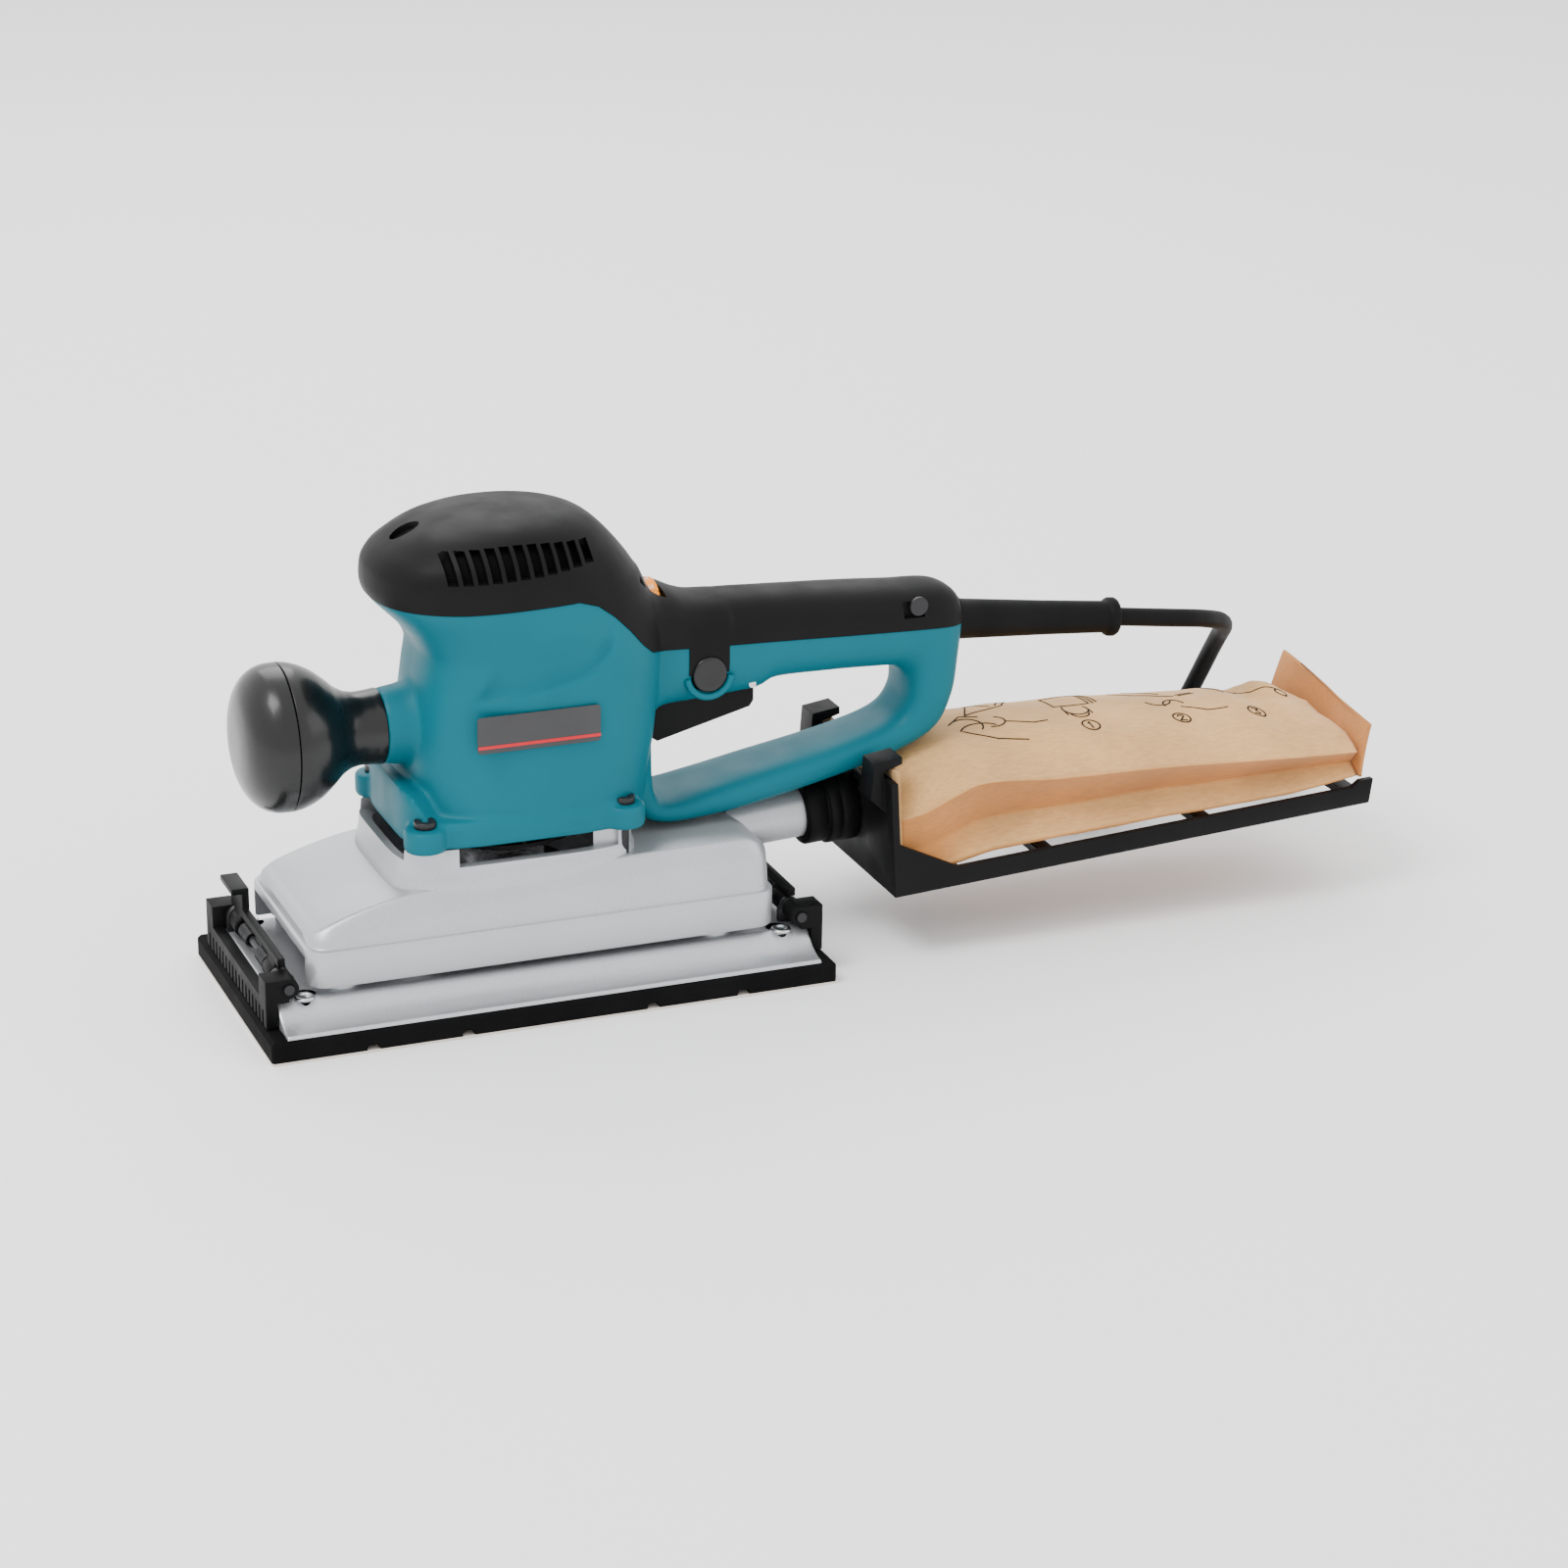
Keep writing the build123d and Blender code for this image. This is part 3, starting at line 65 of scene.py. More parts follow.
MM = 0.001
MOTOR_X = -6.0
KNOB_Z = 109.0
PIPE_FOOT = (93.0, 50.0)
PIPE_TILT = radians(3.46)
BUTTON_X, BUTTON_Z, HANDLE_SIDE = 74.5, 121.0, -18.5
DIAL_X, DIAL_Z, DIAL_BAND_R = 55.0, 144.6, 11.7
GUARD_START, GUARD_END = (168, 0, 127.5), (259.5, 0, 118.6)
ROD_X, ROD_Z = 104.0, 24.8
RIVET_X, RIVET_Y = 97, 41
ROOM_WALL = 3.2
CORD_WIDTH = 7.7
COIL_CENTRE, COIL_OUTER_R, COIL_PITCH = (272.0, 115.0), 54.0, 7.85
COIL_TURN_POINTS = 24
CORD_ROUTE = [
    GUARD_END, (283, 0.3, 115.4), (306, 6, 111), (325, 23, 102), (335, 49, 86), (338, 71, 60),
    (335.5, 87, 33), (331, 101, 14.5), (327.5, 110, 6.5),
]
TAIL_ROUTE = [(306, 66.2, 11.2), (326, 70, 12), (345, 74, 12.6)]
SCREW_AT = [(MOTOR_X + i * 40, j * 33) for i in (-1, 1) for j in (-1, 1)]


# ---------------------------------------------------------------- curves and surfaces
def glide(x, xs, ys):
    """Smooth curve through the points (xs, ys) that never overshoots them (monotone cubic)."""
    xs, ys, x = (np.asarray(a, float) for a in (xs, ys, x))
    step = np.diff(xs)
    slope = np.diff(ys) / step
    tangent = np.zeros_like(ys)
    tangent[0], tangent[-1] = slope[0], slope[-1]
    left, right = slope[:-1], slope[1:]
    same = left * right > 0
    w0, w1 = 2 * step[1:] + step[:-1], step[1:] + 2 * step[:-1]
    mean = (w0 + w1)[same] / (w0[same] / left[same] + w1[same] / right[same])
    tangent[1:-1][same] = mean
    i = np.clip(np.searchsorted(xs, x) - 1, 0, len(step) - 1)
    t = np.clip((x - xs[i]) / step[i], 0, 1)
    rise = t * t * (3 - 2 * t)
    ends = ys[i] * (1 - rise) + ys[i + 1] * rise
    return ends + step[i] * (t * (1 - t) ** 2 * tangent[i] - t * t * (1 - t) * tangent[i + 1])


def soft_step(t):
    """0 below 0, 1 above 1, and 3t^2 - 2t^3 between."""
    t = np.clip(t, 0, 1)
    return t * t * (3 - 2 * t)


def closed_path(points, count):
    """Closed Catmull-Rom curve through the points, sampled evenly in its parameter."""
    p = np.asarray(points, float)
    u = np.linspace(0, len(p), count, endpoint=False)
    i, t = np.floor(u).astype(int), (u % 1)[:, None]
    a, b, c, d = (p[(i + k) % len(p)] for k in (-1, 0, 1, 2))
    return 0.5 * (2 * b + (c - a) * t + (2 * a - 5 * b + 4 * c - d) * t**2 + (3 * b - a - 3 * c + d) * t**3)


def oval(count, power):
    """Unit superellipse |x|^p + |y|^p = 1, from angle 0 anticlockwise; power may be an array of rows."""
    a = np.linspace(0, 2 * pi, count, endpoint=False)
    e = 2.0 / np.asarray(power, float)[..., None]
    c, s = np.cos(a), np.sin(a)
    return np.sign(c) * np.abs(c) ** e, np.sign(s) * np.abs(s) ** e


def level_rings(z, front, rear, half, power, count=240):
    """Rings of a body stacked along Z: each level a superellipse from front to rear, half wide."""
    c, s = oval(count, power)
    x = ((front + rear) / 2)[:, None] + ((rear - front) / 2)[:, None] * c
    y = half[:, None] * s
    return np.stack([x, y, np.broadcast_to(z[:, None], x.shape)], -1)


def turned(x, r, count=96, centre=(0.0, 0.0)):
    """Rings of a body of revolution about an axis along X, from its outline x, r."""
    a = np.linspace(0, 2 * pi, count, endpoint=False)
    x, r = np.asarray(x, float)[:, None], np.asarray(r, float)[:, None]
    return np.stack([x + 0 * a, centre[0] + r * np.cos(a), centre[1] + r * np.sin(a)], -1)


def swept(path, radius, sides=12, flat=1.0):
    """Rings of a round or flattened section carried along a path, turned with it."""
    path = np.asarray(path, float)
    along = np.gradient(path, axis=0)
    along /= np.linalg.norm(along, axis=1, keepdims=True)
    up = np.zeros_like(path)
    up[0] = np.cross(along[0], (0.31, 0.87, 0.38))
    for k in range(len(path)):
        carried = up[max(k - 1, 0)]
        carried = carried - along[k] * np.dot(carried, along[k])
        up[k] = carried / np.linalg.norm(carried)
    side = np.cross(along, up)
    a = np.linspace(0, 2 * pi, sides, endpoint=False)
    radius = np.broadcast_to(np.asarray(radius, float), len(path))[:, None, None]
    ring = up[:, None] * np.cos(a)[:, None] + flat * side[:, None] * np.sin(a)[:, None]
    return path[:, None] + radius * ring


def tilted(points):
    """From the dust pipe's own axes (x along the pipe) to the frame's."""
    p = np.asarray(points, float)
    x = PIPE_FOOT[0] + p[..., 0] * cos(PIPE_TILT) - p[..., 2] * sin(PIPE_TILT)
    z = PIPE_FOOT[1] + p[..., 0] * sin(PIPE_TILT) + p[..., 2] * cos(PIPE_TILT)
    return np.stack([x, p[..., 1], z], -1)


def grid_faces(rows, columns, start=0, loop=False):
    """Quads between rows of a closed ring grid; loop joins the last row to the first."""
    r = np.arange(rows if loop else rows - 1)[:, None]
    c = np.arange(columns)[None]
    a, b = r * columns, ((r + 1) % rows) * columns
    d = (c + 1) % columns
    quads = np.stack([a + c, a + d, b + d, b + c], -1).reshape(-1, 4)
    return (quads + start).tolist()


def solid(*ring_sets, loop=False):
    """(points, faces) of closed surfaces: each ring grid is closed by a fan at both ends, or looped."""
    points, faces, start = [], [], 0
    for rings in ring_sets:
        rows, columns = rings.shape[:2]
        points.append(rings.reshape(-1, 3))
        faces += grid_faces(rows, columns, start, loop)
        end = start + rows * columns
        if not loop:
            points.append(np.stack([rings[0].mean(0), rings[-1].mean(0)]))
            last = start + (rows - 1) * columns
            for k in range(columns):
                faces.append((end, start + (k + 1) % columns, start + k))
                faces.append((end + 1, last + k, last + (k + 1) % columns))
            end += 2
        start = end
    return np.concatenate(points), faces


def brick(x0, x1, y0, y1, z0, z1):
    """(points, faces) of a box."""
    p = [(x, y, z) for x in (x0, x1) for y in (y0, y1) for z in (z0, z1)]
    f = [(0, 1, 3, 2), (4, 6, 7, 5), (0, 4, 5, 1), (2, 3, 7, 6), (0, 2, 6, 4), (1, 5, 7, 3)]
    return np.array(p, float), f


def prism(outline, half, middle=0.0):
    """(points, faces) of an outline in X and Z carried along Y."""
    flat = np.array(outline, float)
    n = len(flat)
    sides = [np.stack([flat[:, 0], np.full(n, middle + s * half), flat[:, 1]], -1) for s in (-1, 1)]
    faces = [tuple(range(n)), tuple(range(2 * n - 1, n - 1, -1))]
    faces += [(k, k + n, (k + 1) % n + n, (k + 1) % n) for k in range(n)]
    return np.concatenate(sides), faces


def together(*shapes):
    """Several (points, faces) in one."""
    points, faces, start = [], [], 0
    for p, f in shapes:
        points.append(p)
        faces += [tuple(i + start for i in face) for face in f]
        start += len(p)
    return np.concatenate(points), faces


# ---------------------------------------------------------------- objects
def make_object(name, shape, smooth=True):
    """Object at the origin from (points, faces) in millimetres, faces turned outwards."""
    points, faces = shape
    mesh = bpy.data.meshes.new(name)
    mesh.from_pydata((np.asarray(points) * MM).tolist(), [], faces)
    work = bmesh.new()
    work.from_mesh(mesh)
    bmesh.ops.remove_doubles(work, verts=work.verts, dist=1e-7)
    bmesh.ops.recalc_face_normals(work, faces=work.faces)
    work.to_mesh(mesh)
    work.free()
    mesh.polygons.foreach_set("use_smooth", [smooth] * len(mesh.polygons))
    thing = bpy.data.objects.new(name, mesh)
    bpy.context.scene.collection.objects.link(thing)
    return thing


def settle(thing):
    """Applies every modifier of the object to its mesh."""
    graph = bpy.context.evaluated_depsgraph_get()
    mesh = bpy.data.meshes.new_from_object(thing.evaluated_get(graph))
    thing.modifiers.clear()
    old, thing.data = thing.data, mesh
    bpy.data.meshes.remove(old)
    return thing


def fused(thing, voxel, passes):
    """Joins overlapping closed surfaces into one skin and softens its joins."""
    remesh = thing.modifiers.new("fuse", "REMESH")
    remesh.mode, remesh.voxel_size, remesh.use_smooth_shade = "VOXEL", voxel * MM, True
    soften = thing.modifiers.new("soften", "SMOOTH")
    soften.factor, soften.iterations = 0.5, passes
    return settle(thing)


def cut(thing, shape, operation="DIFFERENCE"):
    """Boolean of the object with a (points, faces) shape."""
    tool = make_object("cutter", shape, False)
    boolean = thing.modifiers.new("cut", "BOOLEAN")
    boolean.operation, boolean.object, boolean.solver = operation, tool, "EXACT"
    settle(thing)
    mesh = tool.data
    bpy.data.objects.remove(tool)
    bpy.data.meshes.remove(mesh)
    return thing


def crisp(thing, width=0.5, segments=2, angle=35):
    """Rounded edges where faces meet at more than the angle, in degrees."""
    bevel = thing.modifiers.new("edge", "BEVEL")
    bevel.width, bevel.segments, bevel.limit_method = width * MM, segments, "ANGLE"
    bevel.angle_limit, bevel.harden_normals = radians(angle), True
    return thing


def sharpen(thing, angle=35):
    """Marks edges sharper than the angle, so that smooth shading stops at them."""
    thing.data.set_sharp_from_angle(angle=radians(angle))
    return thing


def place(thing, finish, body="root", replaces=()):
    """Gives the object its finish, its body and the CAD nodes that it stands for."""
    thing.data.materials.clear()
    thing.data.materials.append(FINISHES[finish])
    if replaces:
        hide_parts(*replaces)
    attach(thing, body)
    return thing


def body_of_node(node):
    """Name of the CAD body that a node moves with."""
    for body, nodes in frame["record"]["behaviour"]["bodies"].items():
        if node in nodes:
            return body
    return "root"


def refined(node, finish, width=0.4, angle=30):
    """Copy of a CAD node with merged faces and rounded edges, standing in for it."""
    source = frame["nodes"][node]
    mesh = source.data.copy()
    work = bmesh.new()
    work.from_mesh(mesh)
    bmesh.ops.remove_doubles(work, verts=work.verts, dist=1e-6)
    bmesh.ops.dissolve_limit(work, angle_limit=radians(1), verts=work.verts, edges=work.edges)
    work.to_mesh(mesh)
    work.free()
    mesh.polygons.foreach_set("use_smooth", [True] * len(mesh.polygons))
    thing = bpy.data.objects.new(node + "_finished", mesh)
    bpy.context.scene.collection.objects.link(thing)
    crisp(thing, width, 2, angle)
    return place(thing, finish, body_of_node(node), (node,))


def coat(finish, *nodes):
    """Gives CAD nodes that keep their own shape a finish."""
    for node in nodes:
        for slot in frame["nodes"][node].material_slots:
            slot.material = FINISHES[finish]


# ---------------------------------------------------------------- finishes
def start_finish(name, colour, rough, metallic=0.0, coat=0.0, sheen=0.0):
    """Empty material with its shader's uniform values set on the shader's own sockets."""
    finish = bpy.data.materials.new(name)
    finish.use_nodes = True
    nodes, links = finish.node_tree.nodes, finish.node_tree.links
    nodes.clear()
    out = nodes.new("ShaderNodeOutputMaterial")
    shader = nodes.new("ShaderNodeBsdfPrincipled")
    links.new(shader.outputs["BSDF"], out.inputs["Surface"])
    shader.inputs["Base Color"].default_value = (*colour, 1)
    shader.inputs["Roughness"].default_value = rough
    shader.inputs["Metallic"].default_value = metallic
    shader.inputs["Coat Weight"].default_value = coat
    shader.inputs["Coat Roughness"].default_value = 0.12
    shader.inputs["Sheen Weight"].default_value = sheen
    return finish, nodes, links, shader


def pattern(nodes, links, kind="NOISE", scale=500.0, detail=4.0, stretch=(1, 1, 1)):
    """Noise or cell pattern on object coordinates; scale is in features per metre."""
    where = nodes.new("ShaderNodeTexCoord")
    turn = nodes.new("ShaderNodeMapping")
    turn.inputs["Scale"].default_value = stretch
    links.new(where.outputs["Object"], turn.inputs["Vector"])
    if kind == "CELLS":
        texture = nodes.new("ShaderNodeTexVoronoi")
        value = texture.outputs["Distance"]
    else:
        texture = nodes.new("ShaderNodeTexNoise")
        texture.inputs["Detail"].default_value = detail
        value = texture.outputs["Fac"]
    texture.inputs["Scale"].default_value = scale
    links.new(turn.outputs["Vector"], texture.inputs["Vector"])
    return value


def spread(nodes, links, value, low, high, start=0.3, end=0.7):
    """Maps a pattern value from start..end to low..high."""
    ramp = nodes.new("ShaderNodeMapRange")
    for key, number in (("From Min", start), ("From Max", end), ("To Min", low), ("To Max", high)):
        ramp.inputs[key].default_value = number
    links.new(value, ramp.inputs["Value"])
    return ramp.outputs["Result"]


def tint(nodes, links, value, first, second, start=0.3, end=0.7):
    """Colour between two by a pattern value."""
    ramp = nodes.new("ShaderNodeValToRGB")
    ramp.color_ramp.elements[0].position, ramp.color_ramp.elements[1].position = start, end
    ramp.color_ramp.elements[0].color = (*first, 1)
    ramp.color_ramp.elements[1].color = (*second, 1)
    links.new(value, ramp.inputs["Fac"])
    return ramp.outputs["Color"]


def relief(nodes, links, shader, *layers):
    """Stacks bumps: each layer is (pattern value, depth in millimetres)."""
    normal = None
    for value, depth in layers:
        bump = nodes.new("ShaderNodeBump")
        bump.inputs["Distance"].default_value = depth * MM
        bump.inputs["Strength"].default_value = 1.0
        links.new(value, bump.inputs["Height"])
        if normal:
            links.new(normal, bump.inputs["Normal"])
        normal = bump.outputs["Normal"]
    links.new(normal, shader.inputs["Normal"])


def shade(colour, factor):
    """The colour made lighter or darker."""
    return tuple(min(1.0, c * factor) for c in colour)


def moulded(name, colour, rough, grain=1400.0, depth=0.01, coat=0.0, wear=0.12, gloss=0.11):
    """Moulded plastic or rubber: fine spark-eroded grain, faint mottling, slightly uneven gloss."""
    finish, nodes, links, shader = start_finish(name, colour, rough, coat=coat)
    shader.inputs["Specular IOR Level"].default_value = gloss
    broad = pattern(nodes, links, scale=22.0, detail=3.0)
    fine = pattern(nodes, links, scale=grain, detail=3.0)
    smears = pattern(nodes, links, scale=70.0, detail=5.0, stretch=(1, 1, 0.35))
    mottled = tint(nodes, links, broad, shade(colour, 1 - wear), shade(colour, 1 + wear))
    links.new(mottled, shader.inputs["Base Color"])
    links.new(spread(nodes, links, smears, rough - 0.05, rough + 0.07), shader.inputs["Roughness"])
    relief(nodes, links, shader, (fine, depth), (smears, depth * 1.5))
    return finish


def cast_metal(name, colour, rough, metallic, grain=1500.0, depth=0.009, pits=0.008):
    """Painted or bare casting: fine sandy grain with small bright and dark specks."""
    finish, nodes, links, shader = start_finish(name, colour, rough, metallic=metallic)
    specks = pattern(nodes, links, scale=grain, detail=5.0)
    cells = pattern(nodes, links, "CELLS", scale=grain * 0.8)
    cloud = pattern(nodes, links, scale=30.0, detail=3.0)
    mix = nodes.new("ShaderNodeMix")
    mix.data_type, mix.blend_type = "RGBA", "MULTIPLY"
    mix.inputs[0].default_value = 1.0
    links.new(tint(nodes, links, specks, shade(colour, 0.94), shade(colour, 1.04), 0.35, 0.65), mix.inputs[6])
    links.new(tint(nodes, links, cloud, (0.95, 0.95, 0.95), (1, 1, 1)), mix.inputs[7])
    links.new(mix.outputs[2], shader.inputs["Base Color"])
    links.new(spread(nodes, links, specks, rough - 0.06, rough + 0.08), shader.inputs["Roughness"])
    relief(nodes, links, shader, (specks, depth), (cells, pits))
    return finish


def machined(name, colour, rough, stretch=(1, 1, 14)):
    """Turned or rolled steel: fine lines one way."""
    finish, nodes, links, shader = start_finish(name, colour, rough, metallic=1.0)
    lines = pattern(nodes, links, scale=260.0, detail=6.0, stretch=stretch)
    links.new(tint(nodes, links, lines, shade(colour, 0.85), shade(colour, 1.1)), shader.inputs["Base Color"])
    links.new(spread(nodes, links, lines, rough - 0.06, rough + 0.1), shader.inputs["Roughness"])
    relief(nodes, links, shader, (lines, 0.01))
    return finish


def kraft(name, colour, dark):
    """Kraft paper: long fibres, cloudy tone, small creases, and painted shade, darker, where the mesh's side value
    is 1.
    """
    finish, nodes, links, shader = start_finish(name, colour, 0.82, sheen=0.15)
    fibres = pattern(nodes, links, scale=900.0, detail=8.0, stretch=(0.25, 1, 1))
    cloud = pattern(nodes, links, scale=28.0, detail=6.0)
    creases = pattern(nodes, links, scale=95.0, detail=2.0, stretch=(0.6, 1, 1))
    mix = nodes.new("ShaderNodeMix")
    mix.data_type, mix.blend_type = "RGBA", "MULTIPLY"
    mix.inputs[0].default_value = 1.0
    links.new(tint(nodes, links, cloud, dark, colour, 0.3, 0.62), mix.inputs[6])
    links.new(tint(nodes, links, fibres, (0.86, 0.84, 0.8), (1, 1, 1), 0.35, 0.6), mix.inputs[7])
    # painted shade: the side attribute multiplies sideways faces of the paper to a deeper orange
    side = nodes.new("ShaderNodeAttribute")
    side.attribute_name = "side"
    sides = nodes.new("ShaderNodeMix")
    sides.data_type, sides.blend_type = "RGBA", "MULTIPLY"
    sides.inputs[7].default_value = (0.80, 0.56, 0.34, 1)
    links.new(side.outputs["Fac"], sides.inputs[0])
    links.new(mix.outputs[2], sides.inputs[6])
    links.new(sides.outputs[2], shader.inputs["Base Color"])
    links.new(spread(nodes, links, fibres, 0.72, 0.9), shader.inputs["Roughness"])
    relief(nodes, links, shader, (fibres, 0.03), (creases, 0.5))
    return finish


def sanding_grit(name, colour):
    """Coated abrasive: dense hard grains."""
    finish, nodes, links, shader = start_finish(name, colour, 0.9)
    grains = pattern(nodes, links, "CELLS", scale=2600.0)
    speckled = tint(nodes, links, grains, shade(colour, 0.6), shade(colour, 1.25), 0.1, 0.6)
    links.new(speckled, shader.inputs["Base Color"])
    relief(nodes, links, shader, (grains, 0.12))
    return finish


FINISHES = {}


def make_finishes(look):
    """Every finish of the object, from the colours in the settings."""
    teal, black, silver = tuple(look.teal), tuple(look.black), tuple(look.silver)
    paper = tuple(look.paper)
    table = {
        "teal": moulded("teal_plastic", teal, 0.45, depth=0.006, wear=0.05, gloss=0.14),
        "black": moulded("black_plastic", black, 0.5, depth=0.012, wear=0.2),
        "gloss": moulded("knob_plastic", shade(black, 0.8), 0.26, depth=0.004, coat=0.1, wear=0.1, gloss=0.35),
        "rubber": moulded("black_rubber", shade(black, 0.7), 0.58, grain=700.0, depth=0.02, wear=0.25),
        "foam": moulded("pad_foam", shade(black, 0.45), 0.85, grain=1500.0, depth=0.12, wear=0.35),
        "cast": cast_metal("silver_casting", silver, 0.36, 0.55),
        "pan": cast_metal("pan_casting", shade(silver, 1.1), 0.34, 0.7, grain=1200.0, depth=0.008),
        "steel": machined("bright_steel", (0.62, 0.62, 0.63), 0.28),
        "dark_steel": cast_metal("black_steel", (0.02, 0.02, 0.022), 0.38, 0.5, grain=900.0),
        "copper": machined("copper_wire", (0.68, 0.3, 0.13), 0.35, stretch=(1, 1, 30)),
        "lamination": machined("laminations", (0.3, 0.3, 0.31), 0.4, stretch=(1, 1, 40)),
        "brass": machined("brass", (0.78, 0.58, 0.25), 0.3),
        "carbon": moulded("carbon", (0.03, 0.03, 0.03), 0.7, grain=1800.0, depth=0.03),
        "orange": moulded("dial_plastic", tuple(look.orange), 0.4),
        "board": moulded("potting", (0.03, 0.09, 0.05), 0.5),
        "paper": kraft("kraft_paper", paper, shade(paper, 0.78)),
        "card": kraft("brown_card", shade(paper, 0.72), shade(paper, 0.55)),
        "grit": sanding_grit("abrasive", (0.62, 0.56, 0.5)),
        "badge": moulded("badge_grey", (0.055, 0.055, 0.058), 0.42, depth=0.004),
        "red": moulded("badge_red", (0.55, 0.02, 0.03), 0.4, depth=0.004),
        "ink": moulded("printed_ink", (0.008, 0.007, 0.006), 0.8, depth=0.002),
        "white": moulded("dial_print", (0.8, 0.8, 0.78), 0.6, depth=0.002),
    }
    FINISHES.update(table)


# ---------------------------------------------------------------- upper body
COLUMN_Z = [69, 78, 84, 92, 100, 115, 130, 139, 146, 152, 157, 161.5, 166]
COLUMN_FRONT = [-46, -45.5, -45, -44.5, -44, -42.8, -40.8, -39.6, -42.5, -47.5, -52.5, -56.5, -57.8]
COLUMN_REAR = [47, 49, 50, 51.5, 53, 54.5, 55.5, 55.5, 54.5, 53, 51.5, 50, 48]
COLUMN_HALF = [37.5, 37.8, 38, 38, 38, 38, 38, 38.2, 39, 40.2, 41, 41.3, 41.4]
COLUMN_POWER = [3.1, 3.1, 3.1, 3.1, 3.1, 3.1, 3.1, 3.0, 2.9, 2.7, 2.6, 2.5, 2.4]
HEAD_Z = [161.5, 166, 172, 177, 182, 186, 189, 190.9, 191.9, 192.35]
HEAD_FRONT = [-56.5, -57.8, -57.3, -54.5, -48.5, -41.5, -33.5, -26, -19, -12]
HEAD_REAR = [50, 47.5, 43.5, 39.5, 35, 30.5, 25, 17, 6, -6]
HEAD_HALF = [41.3, 41.4, 41, 39.6, 36.8, 32.8, 27.5, 20.5, 12.5, 5]
HEAD_POWER = [2.5, 2.4, 2.4, 2.4, 2.3, 2.3, 2.2, 2.2, 2.1, 2.0]
ARM_X = [0, 16, 30, 40, 48, 54, 61, 68, 74, 84]
ARM_TOP = [185, 181, 175.5, 168.5, 161.2, 156.0, 153.6, 150.4, 148.8, 148.2]
ARM_LOW = [140, 134, 130, 128, 126, 125, 124, 123, 122, 121]
ARM_HALF = [36, 34.5, 31.5, 28, 24.5, 22.3, 20.6, 19.4, 18.7, 18.3]
LOOP_PAIRS = [
    # inner x, z; outer x, z; half width
    (57, 105.9, 52, 150, 20.5),
    (72, 107.0, 72, 148.6, 18.8),
    (90, 108.2, 90, 148.0, 18.5),
    (98.5, 109.2, 100, 147.5, 18.3),
    (106, 112.4, 112, 146.8, 18.2),
    (130, 112.5, 138, 145.4, 18.2),
    (148, 111.9, 160, 143.8, 18.0),
    (157, 111.2, 179.5, 142.2, 17.6),
    (161.3, 108.2, 186.6, 134, 17.0),
    (162.3, 102.5, 185.6, 113, 16.6),
    (161.3, 97.0, 183.2, 98, 16.6),
    (157.0, 91.2, 176.0, 84.8, 16.8),
    (148, 87.0, 159, 76.2, 17.2),
    (128, 82.0, 138, 70.4, 17.8),
    (100, 76.8, 106, 63.4, 18.4),
    (76, 72.0, 80, 59.6, 18.8),
    (60, 69.2, 56, 59.5, 19.5),
    (54.3, 73, 44, 67, 19.5),
    (53.9, 90, 34, 92, 19.5),
    (54.2, 101, 34, 130, 20),
]
PARTING = [
    (-90, 161.5), (-30, 161.8), (14, 163), (22, 160.3), (29, 155), (36, 148), (42, 141), (47, 136.4), (53, 133.6),
    (66, 132.4), (66, 121), (83, 121), (83, 131.6), (130, 129.9), (200, 127.4), (200, 230), (-90, 230),
]


def panel_relief(x, z):
    """Depth in mm of the scooped panel on the side: a step above a rising crease that fades to an arch."""
    crease = glide(x, [-30, -24, 0, 19, 26, 30], [123.5, 124.2, 128.6, 133, 139.5, 146])
    arch = glide(x, [-30, -24, -16, -7, 8, 20, 30], [126, 130, 145.6, 150.8, 153, 153.8, 154.2])
    above = (z - crease)
    bite = soft_step(above / 2.2) * (1 - soft_step((above - 2.2) / np.maximum(arch - crease - 2.2, 1)))
    window = soft_step((x + 27) / 8) * (1 - soft_step((x - 26.5) / 3.0))
    return 2.6 * bite * window


def column_surface():
    """Motor column: levels from the glide tables, with the scooped panel pressed into both sides."""
    z = np.linspace(COLUMN_Z[0], COLUMN_Z[-1], 110)
    rows = [glide(z, COLUMN_Z, t) for t in (COLUMN_FRONT, COLUMN_REAR, COLUMN_HALF, COLUMN_POWER)]
    rings = level_rings(z, *rows, count=420)
    x, y, h = rings[..., 0], rings[..., 1], rings[..., 2]
    flat = soft_step((np.abs(y) - 30) / 5)
    rings[..., 1] = y - np.sign(y) * panel_relief(x, h) * flat
    return rings


def flange_surface():
    """Foot of the motor housing: a low wall round the column, raised at the front."""
    z = np.array([69, 69.6, 70.5, 77, 79, 79.6])
    grow = np.array([-0.7, -0.2, 0, 0, -0.5, -1.3])
    ones = np.ones_like(z)
    rings = level_rings(z, -52.3 - grow, 44 + grow, 38.6 * ones + grow, 4.6 * ones, count=240)
    front = soft_step((-43.0 - rings[..., 0]) / 8.0)
    share = (z[:, None] - z[0]) / (z[-1] - z[0])
    rings[..., 2] += 10.5 * front * soft_step(share)
    return rings


def ear_surfaces():
    """Four screw lugs at the corners of the flange."""
    ears = []
    for x, y in SCREW_AT:
        z = np.array([69, 69.5, 70.2, 77.2, 77.9, 78.2])
        r = np.array([7.4, 8.0, 8.3, 8.3, 7.9, 7.3])
        a = np.linspace(0, 2 * pi, 48, endpoint=False)
        ring = np.stack([x + r[:, None] * np.cos(a), y + r[:, None] * np.sin(a), z[:, None] + 0 * a], -1)
        ring[..., 1] = np.clip(ring[..., 1], -41.2, 41.2)
        ears.append(ring)
    return ears


def head_surface():
    """Domed head of the top cover."""
    z = glide(np.linspace(0, 1, 90), np.linspace(0, 1, len(HEAD_Z)), HEAD_Z)
    rows = [glide(z, HEAD_Z, t) for t in (HEAD_FRONT, HEAD_REAR, HEAD_HALF, HEAD_POWER)]
    return level_rings(z, *rows, count=300)


